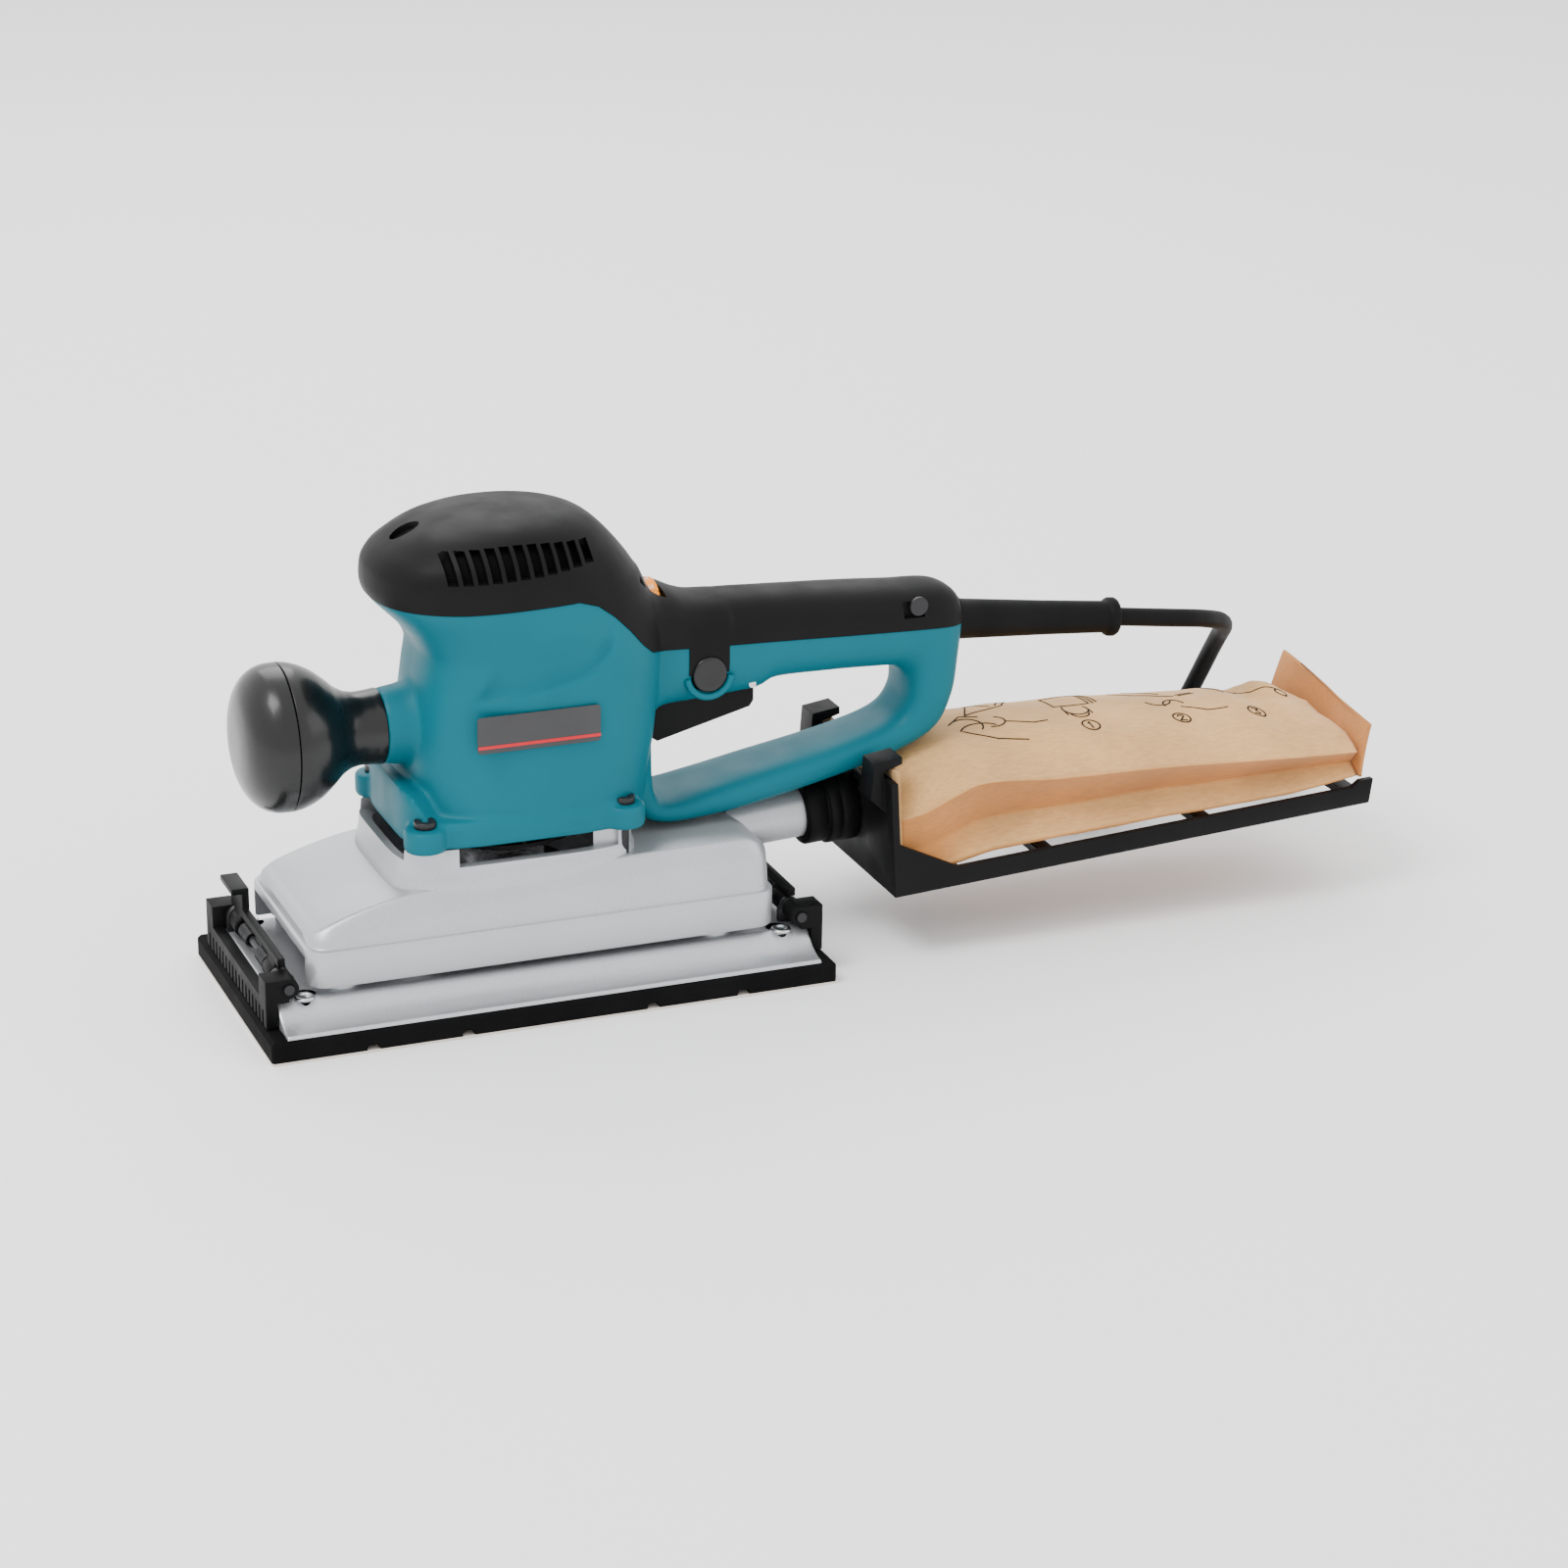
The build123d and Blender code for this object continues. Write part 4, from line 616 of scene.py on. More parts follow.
def arm_surface():
    """Saddle from the head down to the handle: upright sections along X."""
    x = np.linspace(ARM_X[0], ARM_X[-1], 70)
    top, low, half = (glide(x, ARM_X, t)[:, None] for t in (ARM_TOP, ARM_LOW, ARM_HALF))
    c, s = oval(140, np.full(len(x), 2.6))
    return np.stack([x[:, None] + 0 * c, half * c, (top + low) / 2 + (top - low) / 2 * s], -1)


def loop_surface():
    """D-handle: a rounded section carried round the loop between its inner and outer outlines."""
    path = closed_path(LOOP_PAIRS, 260)
    inner, outer, half = path[:, None, 0:2], path[:, None, 2:4], path[:, None, 4]
    c, s = oval(72, np.full(len(path), 2.8))
    middle, reach = (inner + outer) / 2, (outer - inner) / 2
    flat = middle + reach * c[..., None]
    return np.stack([flat[..., 0], half * s, flat[..., 1]], -1)


def knob_boss():
    """Collar that the front knob screws against."""
    x = [-54, -53.6, -52, -46, -38]
    r = [13.9, 14.5, 14.8, 15.6, 18]
    return turned(x, r, 72, (0, KNOB_Z))


def upper_body():
    """The whole upper body fused into one skin, before it is parted."""
    whole = together(
        solid(column_surface(), flange_surface(), *ear_surfaces(), head_surface(), arm_surface(), knob_boss()),
        solid(loop_surface(), loop=True),
    )
    return fused(make_object("upper_body", whole), 1.05, 4)


def copy_of(thing, name):
    """Second object with its own mesh."""
    twin = thing.copy()
    twin.data = thing.data.copy()
    twin.name = name
    bpy.context.scene.collection.objects.link(twin)
    return twin


def vent_tools():
    """Eleven slots on each side of the head, leaning a little; their ends follow two shallow arcs."""
    slots, half = [], 1.9
    k = np.arange(11)
    lows, highs = (glide(k, [0, 5, 10], ends) for ends in ([173.4, 174.4, 176.8], [184.4, 186.0, 184.6]))
    for x, low, high in zip(-34.2 + 5.4 * k, lows, highs):
        for side in (-1, 1):
            leaning = [(x - half, low), (x + half, low), (x + half - 1.0, high), (x - half - 1.0, high)]
            slots.append(prism(leaning, 12, side * 38))
    return slots


def cover_tools():
    """Slots, dial opening, screw pockets of the cover."""
    tools = vent_tools()
    points, faces = solid(turned([-5, 30], [4.6, 4.6], 40))
    tools.append((np.stack([-42 + points[:, 2] * 1.25, points[:, 1], 181 + points[:, 0]], -1), faces))
    tools.append(brick(DIAL_X - 3.6, DIAL_X + 3.6, -14, 14, 143, 175))
    pocket = [(157.5, 134), (166.5, 134), (166.5, 141.5), (163.5, 144.5), (159.5, 144.5), (157.5, 142.5)]
    tools.append(prism(pocket, 6, -20.5))
    tools.append(prism([(44, 163), (51, 156), (54, 159), (47, 166.5)], 5, -24.5))
    return tools


class SanderLook(bpy.types.PropertyGroup):
    """Colours of the finishes."""

    teal: bpy.props.FloatVectorProperty(
        name="Teal", description="Motor housing plastic", subtype="COLOR", size=3, default=(0.0, 0.112, 0.150)
    )
    black: bpy.props.FloatVectorProperty(
        name="Black", description="Cover plastic", subtype="COLOR", size=3, default=(0.0040, 0.0040, 0.0043)
    )
    silver: bpy.props.FloatVectorProperty(
        name="Silver", description="Painted casting", subtype="COLOR", size=3, default=(0.46, 0.475, 0.49)
    )
    paper: bpy.props.FloatVectorProperty(
        name="Paper", description="Dust bag paper", subtype="COLOR", size=3, default=(0.66, 0.37, 0.135)
    )
    orange: bpy.props.FloatVectorProperty(
        name="Orange", description="Speed dial", subtype="COLOR", size=3, default=(0.95, 0.3, 0.03)
    )


class SanderSizes(bpy.types.PropertyGroup):
    """Sizes that a user would change, in millimetres."""

    seam: bpy.props.FloatProperty(name="Seam step", description="How far the cover stands over the housing, in mm",
                                  default=0.35, min=0.0, max=1.0)
    key_light: bpy.props.FloatProperty(name="Key light", description="Power of the large soft light",
                                       default=26.0, min=0.0, subtype="POWER")
    world: bpy.props.FloatProperty(name="Surroundings", description="Brightness of the white surroundings",
                                   default=1.75, min=0.0, max=4.0)


def inner_room():
    """Hollow for the motor and its electrics: the column and head, moved inwards by the wall."""
    z = np.array([60, 75, 92, 110, 130, 146, 157, 164, 172, 180, 186.0])
    levels = COLUMN_Z[:12] + HEAD_Z[1:]
    front, rear, half = (
        glide(z, levels, column[:12] + head[1:])
        for column, head in ((COLUMN_FRONT, HEAD_FRONT), (COLUMN_REAR, HEAD_REAR), (COLUMN_HALF, HEAD_HALF))
    )
    power = np.array([2.9, 2.9, 2.9, 2.9, 2.9, 2.7, 2.4, 2.3, 2.25, 2.15, 2.1])
    return solid(level_rings(z, front + ROOM_WALL, rear - ROOM_WALL, half - ROOM_WALL, power, count=96))


def straight(start, end, radius, sides=40):
    """(points, faces) of a round bar between two points."""
    return solid(swept(np.linspace(start, end, 3), radius, sides))


def painted_vent_shade():
    """Painted shade behind the head's slots: a dark thin wall that follows the head's levels."""
    z = np.array([170.0, 173, 178, 182, 186.5, 186.5, 182, 178, 173, 170])
    gap = np.array([3.7, 3.7, 3.7, 3.7, 3.9, 5.0, 4.8, 4.8, 4.8, 4.8])
    front, rear, half = (glide(z, HEAD_Z, t) for t in (HEAD_FRONT, HEAD_REAR, HEAD_HALF))
    return solid(level_rings(z, front + gap, rear - gap, half - gap, np.full(len(z), 2.2), count=120), loop=True)


def housing_tools():
    """Trigger slot, button bore, pipe clearance, guard socket."""
    pipe = tilted(np.array([(-4, 0, 0), (30, 0, 0), (62, 0, 0)]))
    return [
        brick(50.9, 99, -8.3, 8.3, 88, 117.6),
        straight((BUTTON_X, -26, BUTTON_Z), (BUTTON_X, -8, BUTTON_Z), 7.6),
        solid(swept(pipe, 10.9, 40)),
        straight((167, 0, 127.6), (190, 0, 125.36), 8.45),
    ]


def fattened(thing, depth):
    """The object moved outwards along its normals."""
    swell = thing.modifiers.new("swell", "DISPLACE")
    swell.strength, swell.mid_level = depth * MM, 0.0
    return settle(thing)


def button_ring():
    """Half ring that stands round the lower side of the lock button."""
    a = np.linspace(radians(188), radians(352), 40)
    path = np.stack([BUTTON_X + 9.2 * np.cos(a), np.full(40, -18.6), BUTTON_Z + 9.2 * np.sin(a)], -1)
    return solid(swept(path, 1.5, 14))


def make_upper_body():
    """Motor housing and top cover, parted from one fused skin."""
    seam = bpy.context.scene.sander_sizes.seam
    whole = upper_body()
    raised = fattened(copy_of(whole, "raised_body"), seam)
    parting = prism(PARTING, 70)
    housing = cut(whole, parting)
    cut(housing, inner_room())
    cut(housing, together(*housing_tools()))
    housing.name = "motor_housing_skin"
    place(sharpen(housing), "teal", replaces=("motor_housing",))
    lip = prism([(x, z + 0.25) for x, z in PARTING], 70)
    cover = cut(raised, lip, "INTERSECT")
    cut(cover, inner_room())
    cut(cover, together(*cover_tools()))
    cover.name = "top_cover_skin"
    place(sharpen(cover), "black", replaces=("top_cover",))
    place(make_object("button_surround", button_ring()), "teal")
    # painted shade: dark band behind the vent slots
    place(make_object("painted_vent_shade", painted_vent_shade()), "foam")


def make_knob():
    """Front knob: a turned bell with a fine seam before its cap."""
    neck_x = [-53.6, -54.2, -58, -62, -66, -70, -75, -80, -85, -89, -91.4, -91.8, -91.9]
    neck_r = [13.6, 14.8, 14.4, 14.2, 14.8, 16.8, 21.2, 25, 27.4, 28.5, 28.75, 28.4, 27.6]
    cap_x = [-92.0, -92.1, -92.5, -96, -99.6, -103, -106.1, -108.5, -109.9, -110.4, -110.5]
    cap_r = [27.6, 28.4, 28.75, 28.6, 27.7, 25.7, 22.4, 17.8, 12, 6, 0.6]
    halves = (("knob_bell", neck_x, neck_r, "knob_body"), ("knob_nose", cap_x, cap_r, "knob_cap"))
    for name, xs, rs, node in halves:
        along = np.linspace(0, len(xs) - 1, 90)
        x = np.interp(along, range(len(xs)), xs) if node == "knob_body" else glide(along, range(len(xs)), xs)
        r = glide(-x, [-v for v in xs], rs)
        place(make_object(name, solid(turned(x, r, 128, (0, KNOB_Z)))), "gloss", replaces=(node,))


# ---------------------------------------------------------------- base casting
BASE_X = [-96, -94.5, -89, -81, -72, -58, -46, 0, 40, 83, 91, 95]
BASE_TOP = [37, 40.5, 43.6, 46.8, 49.6, 52.8, 54.2, 56, 57.6, 57.8, 54.5, 50]
BASE_CREASE = [37, 38, 39, 40, 41, 42.4, 43.4, 46, 48, 49.4, 48.5, 46]


def rounded_plan(front, rear, half, radius, count):
    """Rounded rectangle sampled at even steps of its length, from the middle of the rear side."""
    k = np.linspace(0, pi / 2, 14)
    corner = np.stack([np.cos(k), np.sin(k)], -1) * radius
    turns = [((rear - radius, half - radius), 1, 1), ((front + radius, half - radius), -1, 1),
             ((front + radius, radius - half), -1, -1), ((rear - radius, radius - half), 1, -1)]
    points = [(rear, 0)]
    for (x, y), sx, sy in turns:
        arc = corner if sx * sy > 0 else corner[::-1]
        points += [(x + sx * a, y + sy * b) for a, b in arc]
    points = np.array(points + [(rear, 0)], float)
    length = np.concatenate([[0], np.cumsum(np.linalg.norm(np.diff(points, axis=0), axis=1))])
    at = np.linspace(0, length[-1], count, endpoint=False)
    return np.stack([np.interp(at, length, points[:, 0]), np.interp(at, length, points[:, 1])], -1)


def base_skin():
    """Base casting: straight skirt, thin ledge, then a crowned top whose steep side grows to the rear."""
    plan = rounded_plan(-95.6, 94.6, 44, 8.5, 520)
    centre = np.array([-0.5, 0])
    rings = []
    skirt = ((22, 1.2), (22.3, 0.4), (23, 0.1), (30, 0), (36.4, 0), (36.9, 0.25), (37.1, 0.8), (37.2, 1.4))
    for z, inset in skirt:
        scale = 1 - inset / np.array([95.1, 44])
        flat = (plan - centre) * scale + centre
        rings.append(np.column_stack([flat, np.full(len(flat), z)]))
    scale = 1 - 1.4 / np.array([95.1, 44])
    edge = (plan - centre) * scale + centre
    for s in 1 - np.linspace(0.004, 1, 70) ** 1.3:
        flat = np.column_stack([centre[0] + (edge[:, 0] - centre[0]) * (0.25 + 0.75 * s), edge[:, 1] * s])
        reach = np.abs(flat[:, 0] - centre[0])
        width = np.interp(reach, [0, 86, 89, 91.4, 92.8, 93.8], [42.6, 42.6, 41.9, 40.2, 38, 34.5])
        ratio = np.clip(np.abs(flat[:, 1]) / width, 0, 1)
        top, crease = glide(flat[:, 0], BASE_X, BASE_TOP), glide(flat[:, 0], BASE_X, BASE_CREASE)
        low = np.full(len(flat), 37.2)
        crease, top = np.maximum(crease, low), np.maximum(top, low)
        z = low + (crease - low) * soft_step((1 - ratio) / 0.045)
        z += (top - crease) * np.sin(pi / 2 * np.clip((0.985 - ratio) / 0.13, 0, 1)) ** 1.2
        rings.append(np.column_stack([flat, z]))
    return np.stack(rings)


def collar_skin():
    """Collar under the motor housing, flared at its foot."""
    z = np.array([50, 55, 57.5, 59, 61, 64, 68.4, 69])
    grow = np.array([1.2, 1.2, 1.1, 0.6, 0.15, 0, 0, -0.4])
    ones = np.ones_like(z)
    lean = (z - 57) / 12
    rings = level_rings(z, -56.4 - grow - 0.8 * (1 - lean), 41 + grow, 38 * ones + grow, 5.0 * ones, count=300)
    lift = 0.042 * rings[..., 0] * (1 - soft_step((rings[..., 2] - 57.5) / 5))
    rings[..., 2] += lift
    return rings


def base_room(z, front, rear, half, power):
    """Hollow of the casting from level values."""
    return solid(level_rings(*(np.array(v, float) for v in (z, front, rear, half, power)), count=64))


def side_cuts():
    """Side vents of the collar and the low openings at both ends."""
    cuts = []
    for side in (-1, 1):
        y0, y1 = sorted((side * 33.0, side * 45.0))
        cuts.append(brick(-34, 31, y0, y1, 61.8, 72))
    cuts.append(brick(-102, -89, -37, 37, 18, 33.8))
    cuts.append(brick(88, 104, -37, 37, 18, 33.8))
    return cuts


def front_slot():
    """Air opening across the front of the collar, its lower edge sloping up to the outside."""
    return prism([(-62, 67.2), (-44, 61.4), (-44, 72), (-62, 72)], 29.5)


def make_base():
    """Base casting with its openings."""
    casting = make_object("base_casting", solid(base_skin()))
    cut(casting, solid(collar_skin()), "UNION")
    cut(casting, base_room((18, 36, 44), (-92, -92, -79), (91, 91, 83), (40.5, 40.5, 37), (9, 9, 6)))
    cut(casting, base_room((43, 60, 75), [-52.5] * 3, [37] * 3, [34.2] * 3, [4.5] * 3))
    cut(casting, together(*side_cuts()))
    cut(casting, front_slot())
    place(sharpen(casting), "cast", replaces=("base_housing",))
    refined("housing_screws", "dark_steel", 0.4)


# ---------------------------------------------------------------- pan, pad and clamps
def pan_skin():
    """Pan: a section with thin lips, hollow flanks and a rounded crest, carried along X."""
    y = [56.5, 56.5, 56.2, 54.8, 53.4, 50.6, 47.8, 45.2, 43.2, 41.8, 40.6, 39.2, 37]
    z = [9.1, 10.3, 10.6, 10.7, 10.85, 11.7, 13.0, 14.8, 16.7, 18.0, 18.8, 19.0, 19.0]
    near = np.column_stack([y, z])
    far = near[::-1] * (-1, 1)
    section = np.concatenate([near, far])
    x = np.array([-108, -107.7, -107, -100, 0, 100, 107, 107.7, 108])
    shrink = np.array([0.35, 0.1, 0, 0, 0, 0, 0, 0.1, 0.35])
    ring = np.broadcast_to(section, (len(x), *section.shape)).copy()
    ring[..., 1] -= (ring[..., 1] > 10) * shrink[:, None]
    return np.concatenate([np.broadcast_to(x[:, None, None], (*ring.shape[:2], 1)), ring], -1)


def make_pan():
    """Orbiting pan with its pad, sheet, screws and columns."""
    pan = make_object("pan_casting", solid(pan_skin()))
    corners = [(i * RIVET_X, j * RIVET_Y) for i in (-1, 1) for j in (-1, 1)]
    cut(pan, together(*(straight((x, y, 5), (x, y, 30), 2.4, 24) for x, y in corners)))
    place(sharpen(pan, 40), "pan", "pan", replaces=("pan_plate",))
    place(make_object("pan_rivets", together(*(solid(ring_eye(x, y)) for x, y in corners))), "steel", "pan")
    pad = refined("rubber_pad", "foam", 0.5)
    pad.name = "pad_block"
    coat("grit", "abrasive_sheet")
    coat("steel", "pad_screws", "column_screws")
    coat("pan", "flex_columns")


def ring_eye(x, y):
    """Flared rim of a tubular rivet."""
    a = np.linspace(0, 2 * pi, 40, endpoint=False)
    r = np.array([2.2, 3.6, 4.0, 3.9, 3.4, 2.5, 2.2])[:, None]
    z = np.array([18.2, 18.4, 18.9, 19.5, 19.9, 19.7, 19.2])[:, None]
    return np.stack([x + r * np.cos(a), y + r * np.sin(a), z + 0 * a], -1)


def spring_path(y0, y1, end):
    """Close helix round the clamp rod."""
    turns = 9
    t = np.linspace(0, 1, turns * 16)
    a = 2 * pi * turns * t
    return np.stack([end * ROD_X + 2.9 * np.cos(a), y0 + (y1 - y0) * t, ROD_Z + 2.9 * np.sin(a)], -1)


def make_clamps():
    """Paper clamps at both ends: lever, jaw, rod and springs."""
    for node in ("front_clamp_lever", "front_clamp_jaw", "rear_clamp_lever", "rear_clamp_jaw"):
        refined(node, "rubber" if node.endswith("jaw") else "black", 0.5)
    coils = [
        solid(swept(spring_path(*sorted((j * 6.5, j * 17.5)), end), 0.55, 8)) for end in (-1, 1) for j in (-1, 1)
    ]
    place(make_object("clamp_coils", together(*coils)), "dark_steel", "pan", replaces=("clamp_springs",))
    refined("clamp_brackets", "dark_steel", 0.3)
    coat("dark_steel", "clamp_rods")


# ---------------------------------------------------------------- controls
def make_controls():
    """Trigger, lock button and speed dial."""
    refined("trigger", "black", 1.2, 25)
    x = [0, 0.2, 0.9, 1.6, 1.75, 1.5, 1.3]
    r = [7.15, 7.2, 7.2, 6.7, 6.2, 4.5, 0.3]
    profile = turned(x, r, 72)
    face = np.stack([BUTTON_X + profile[..., 1], HANDLE_SIDE - profile[..., 0], BUTTON_Z + profile[..., 2]], -1)
    stem = face[:2].copy()
    stem[..., 1] = np.array([-12.0, HANDLE_SIDE])[:, None]
    button = make_object("button_cap", solid(np.concatenate([stem, face])))
    place(button, "gloss", "lock", replaces=("lock_button",))
    place(make_object("dial_wheel", dial_rim()), "orange", "dial", replaces=("speed_dial",))
    place(make_object("dial_numbers", dial_digits()), "white", "dial")


def dial_rim():
    """Knurled wheel: radius 12 with 30 shallow grooves on each edge and a smooth band for the numbers."""
    x = np.array([52.0, 52.05, 52.5, 53.2, 53.6, 56.4, 56.8, 57.5, 57.95, 58.0])
    r = np.array([4.0, 11.2, 11.9, 12.0, 11.7, 11.7, 12.0, 11.9, 11.2, 4.0])
    a = np.linspace(0, 2 * pi, 240, endpoint=False)
    groove = np.array([0, 0.3, 0.5, 0.45, 0, 0, 0.45, 0.5, 0.3, 0])[:, None] * (0.5 + 0.5 * np.cos(30 * a)) ** 3
    radius = r[:, None] - groove
    return solid(np.stack([x[:, None] + 0 * a, radius * np.cos(a), DIAL_Z + radius * np.sin(a)], -1))


DIGITS = {
    "1": [[(0.3, 0.8), (0.5, 1), (0.5, 0)]],
    "2": [[(0.1, 0.8), (0.3, 1), (0.7, 1), (0.9, 0.75), (0.1, 0), (0.9, 0)]],
    "3": [[(0.1, 1), (0.85, 1), (0.45, 0.6), (0.85, 0.35), (0.7, 0), (0.1, 0.05)]],
    "4": [[(0.7, 0), (0.7, 1), (0.1, 0.3), (0.95, 0.3)]],
    "5": [[(0.85, 1), (0.2, 1), (0.15, 0.6), (0.7, 0.6), (0.85, 0.3), (0.6, 0), (0.1, 0.05)]],
}


def stroke(points, width):
    """Flat ribbon pieces (a, b, half width vector) along a polyline in a plane, in order."""
    p = np.array(points, float)
    runs = []
    for a, b in zip(p, p[1:]):
        along = (b - a) / max(np.linalg.norm(b - a), 1e-6)
        side = np.array([-along[1], along[0]]) * width / 2
        a, b = a - along * width / 2, b + along * width / 2
        runs.append(np.array([a - side, b - side, b + side, a + side]))
    return runs


def plates(quads, lift, thick, mapping):
    """Thin solid plates from flat quads: mapping puts (u, v, height) onto the surface."""
    shapes = []
    for quad in quads:
        low = np.column_stack([quad, np.full(4, lift)])
        high = np.column_stack([quad, np.full(4, lift + thick)])
        faces = [(3, 2, 1, 0), (4, 5, 6, 7)] + [(k, (k + 1) % 4, (k + 1) % 4 + 4, k + 4) for k in range(4)]
        shapes.append((mapping(np.concatenate([low, high])), faces))
    return together(*shapes)


def dial_digits():
    """Numbers 1 to 5 round the dial, upright to someone behind the handle."""
    quads = []
    for n in range(5):
        for line in DIGITS[str(n + 1)]:
            flat = [(DIAL_X + 1.6 * (0.5 - y), 90 - 30 * (n - 2) + 13 * (x - 0.5)) for x, y in line]
            points = np.array([(x, radians(a) * DIAL_BAND_R) for x, a in flat])
            quads += stroke(points, 0.35)

    def mapping(p):
        """Wraps (across, along the band, height) round the dial."""
        a = p[:, 1] / DIAL_BAND_R
        r = DIAL_BAND_R + p[:, 2]
        return np.column_stack([p[:, 0], r * np.cos(a), DIAL_Z + r * np.sin(a)])

    return plates(quads, 0.02, 0.12, mapping)


# ---------------------------------------------------------------- cord end
def along_guard(outline):
    """Rings about the cord guard's axis from its outline (distance along, radius)."""
    start, end = np.array(GUARD_START), np.array(GUARD_END)
    axis = (end - start) / np.linalg.norm(end - start)
    up = np.array([-axis[2], 0, axis[0]])
    a = np.linspace(0, 2 * pi, 56, endpoint=False)[:, None]
    ring = np.cos(a) * np.array([0, 1.0, 0]) + np.sin(a) * up
    d, r = np.array(outline, float).T
    return start + d[:, None, None] * axis + r[:, None, None] * ring


def make_guard():
    """Cord guard: smooth tapered sleeve with a collar at each end."""
    outline = [
        (0.5, 4.2), (0.5, 8.1), (8, 8.2), (14.5, 8.2), (15.5, 9.6), (19.5, 9.6), (20.5, 8.2), (30, 7.9), (60, 7.0),
        (86.8, 6.5), (87.4, 6.6), (88.1, 7.6), (89, 8), (91.0, 8), (91.7, 7.6), (91.9, 4.2),
    ]
    place(make_object("guard_sleeve", solid(along_guard(outline))), "rubber", replaces=("cord_guard",))


# ---------------------------------------------------------------- dust collection
def bag_levels(x):
    """At distance x along the pipe axis: crown of the top, its side crease, floor, half width, gusset depth."""
    stations = [56, 62, 72, 95, 125, 156, 190, 216, 236, 248, 262]
    crown = glide(x, stations, [11, 16, 21.5, 25.2, 24.4, 21.4, 17.2, 13.6, 12.4, 9.5, 3])
    crease = glide(x, [56, 66, 80, 91, 125, 170, 207, 240, 262], [4, 5.5, 10.5, 13.6, 9.4, 5.6, 1.4, -2.4, -4.5])
    floor = glide(x, [56, 75, 100, 150, 230, 262], [-20, -18.6, -15.5, -15.8, -17, -15])
    half = glide(x, [56, 70, 90, 200, 262], [39.6, 40.4, 40.8, 40.8, 40.4])
    gusset = glide(x, [56, 70, 90, 200, 240, 262], [1.0, 4.0, 9.0, 12.0, 10.5, 7.0])
    return crown, crease, floor, half, gusset


def crumple(x, y, size):
    """Small folds: a sum of crossed waves of falling length."""
    waves = 0
    for k, (a, b, c) in enumerate(((0.07, 0.11, 0.4), (0.13, -0.09, 1.7), (0.21, 0.17, 2.9), (0.34, -0.29, 4.1))):
        waves = waves + np.sin(a * x + b * y + c + 1.3 * np.sin(0.05 * x - 0.08 * y + k)) / (1.4 + k)
    return size * waves


def bag_top(x, y):
    """Height of the bag's top: a crown over the width, pinched at the rear, with small folds."""
    crown, crease, _, half, _ = bag_levels(x)
    ratio = np.clip(np.abs(y) / half, 0, 1)
    lump = 3.0 * np.exp(-((x - 246) / 7) ** 2 - ((y - 12) / 13) ** 2) - 2.2 * np.exp(-((x - 234) / 6) ** 2)
    folds = crumple(x, y, 0.35) + crumple(1.7 * x, 2.1 * y, 0.5) * soft_step((x - 222) / 25)
    return crease + (crown - crease) * (1 - ratio ** 2.3) ** 0.85 + (lump + folds) * (1 - ratio**6)


def bag_skin():
    """Rings round the bag: top, gusset folded inwards, floor and gusset again."""
    x = np.linspace(56.2, 262, 180)
    y_share = np.sin(np.linspace(-pi / 2, pi / 2, 60))
    rings = []
    for station in x:
        _, crease, floor, half, gusset = bag_levels(station)
        y = half * y_share
        top = np.column_stack([y, bag_top(np.full_like(y, station), y)])
        t = np.linspace(0, 1, 22)[1:-1]
        fold = np.minimum(t / 0.62, (1 - t) / 0.38)
        inward = gusset * fold**0.85 + 0.5 * np.sin(station * 0.11 + 3 * t) * fold
        right = np.column_stack([half - inward, crease + (floor - crease) * t])
        base = np.column_stack([np.linspace(half, -half, 24), np.full(24, floor)])
        base[:, 1] += crumple(station, base[:, 0], 0.25)
        left = np.column_stack([inward - half, crease + (floor - crease) * t])[::-1]
        flat = np.concatenate([top, right, base, left])
        rings.append(np.column_stack([np.full(len(flat), station), flat]))
    rings = np.stack(rings)
    end = soft_step((rings[..., 0] - 250) / 12)
    rings[..., 0] += 1.2 * np.sin(rings[..., 1] * 0.16) * end * 0.6
    return rings


def mark_painted_side_shade(bag):
    """Attribute of painted shade that is 1 where the paper faces sideways, inside the gussets, and 0 on its top.
    """
    values = [float(np.clip((0.72 - v.normal.z) / 0.35, 0, 1)) for v in bag.data.vertices]
    side = bag.data.attributes.new("side", "FLOAT", "POINT")
    side.data.foreach_set("value", values)


def flap_sheet():
    """Folded end of the bag: an upright strip of doubled paper, leaning and slightly wavy."""
    across, up = np.meshgrid(np.linspace(-1, 1, 70), np.linspace(0, 1, 28))
    low = -15.5 + 0.8 * np.sin(3 * across)
    high = 7.4 + 0.8 * np.sin(3 * across + 0.9) + 6.4 * soft_step((across + 0.3) / 1.2)
    x = 262.2 + 7.6 * up**1.2 + 0.9 * np.sin(4.2 * across + 2.0 * up) + 1.6 * up * across
    z = low + (high - low) * up
    y = 40.6 * across
    grid = np.stack([x, y, z], -1)
    skin = np.concatenate([grid, (grid + (1.0, 0, 0))[:, ::-1]], axis=1)
    return skin


def drawn(paths, width=0.62):
    """Printed lines on the bag's top from polylines in (distance along, distance across)."""
    quads = [quad for path in paths for quad in stroke(path, width)]

    def mapping(p):
        """Lays (along, across, height) on the bag's top."""
        return tilted(np.column_stack([p[:, 0], p[:, 1], bag_top(p[:, 0], p[:, 1]) + p[:, 2]]))

    return plates(quads, 0.06, 0.12, mapping)


def fine(path, step=2.0):
    """Polyline with points added so that no piece is longer than the step."""
    p = np.array(path, float)
    made = [p[0]]
    for a, b in zip(p, p[1:]):
        n = max(1, int(np.ceil(np.linalg.norm(b - a) / step)))
        made += [a + (b - a) * k / n for k in range(1, n + 1)]
    return made


def arc(x, y, r, start, end, count=16):
    """Points on an arc between two angles in degrees."""
    a = np.radians(np.linspace(start, end, count))
    return np.column_stack([x + r * np.cos(a), y + r * np.sin(a)])


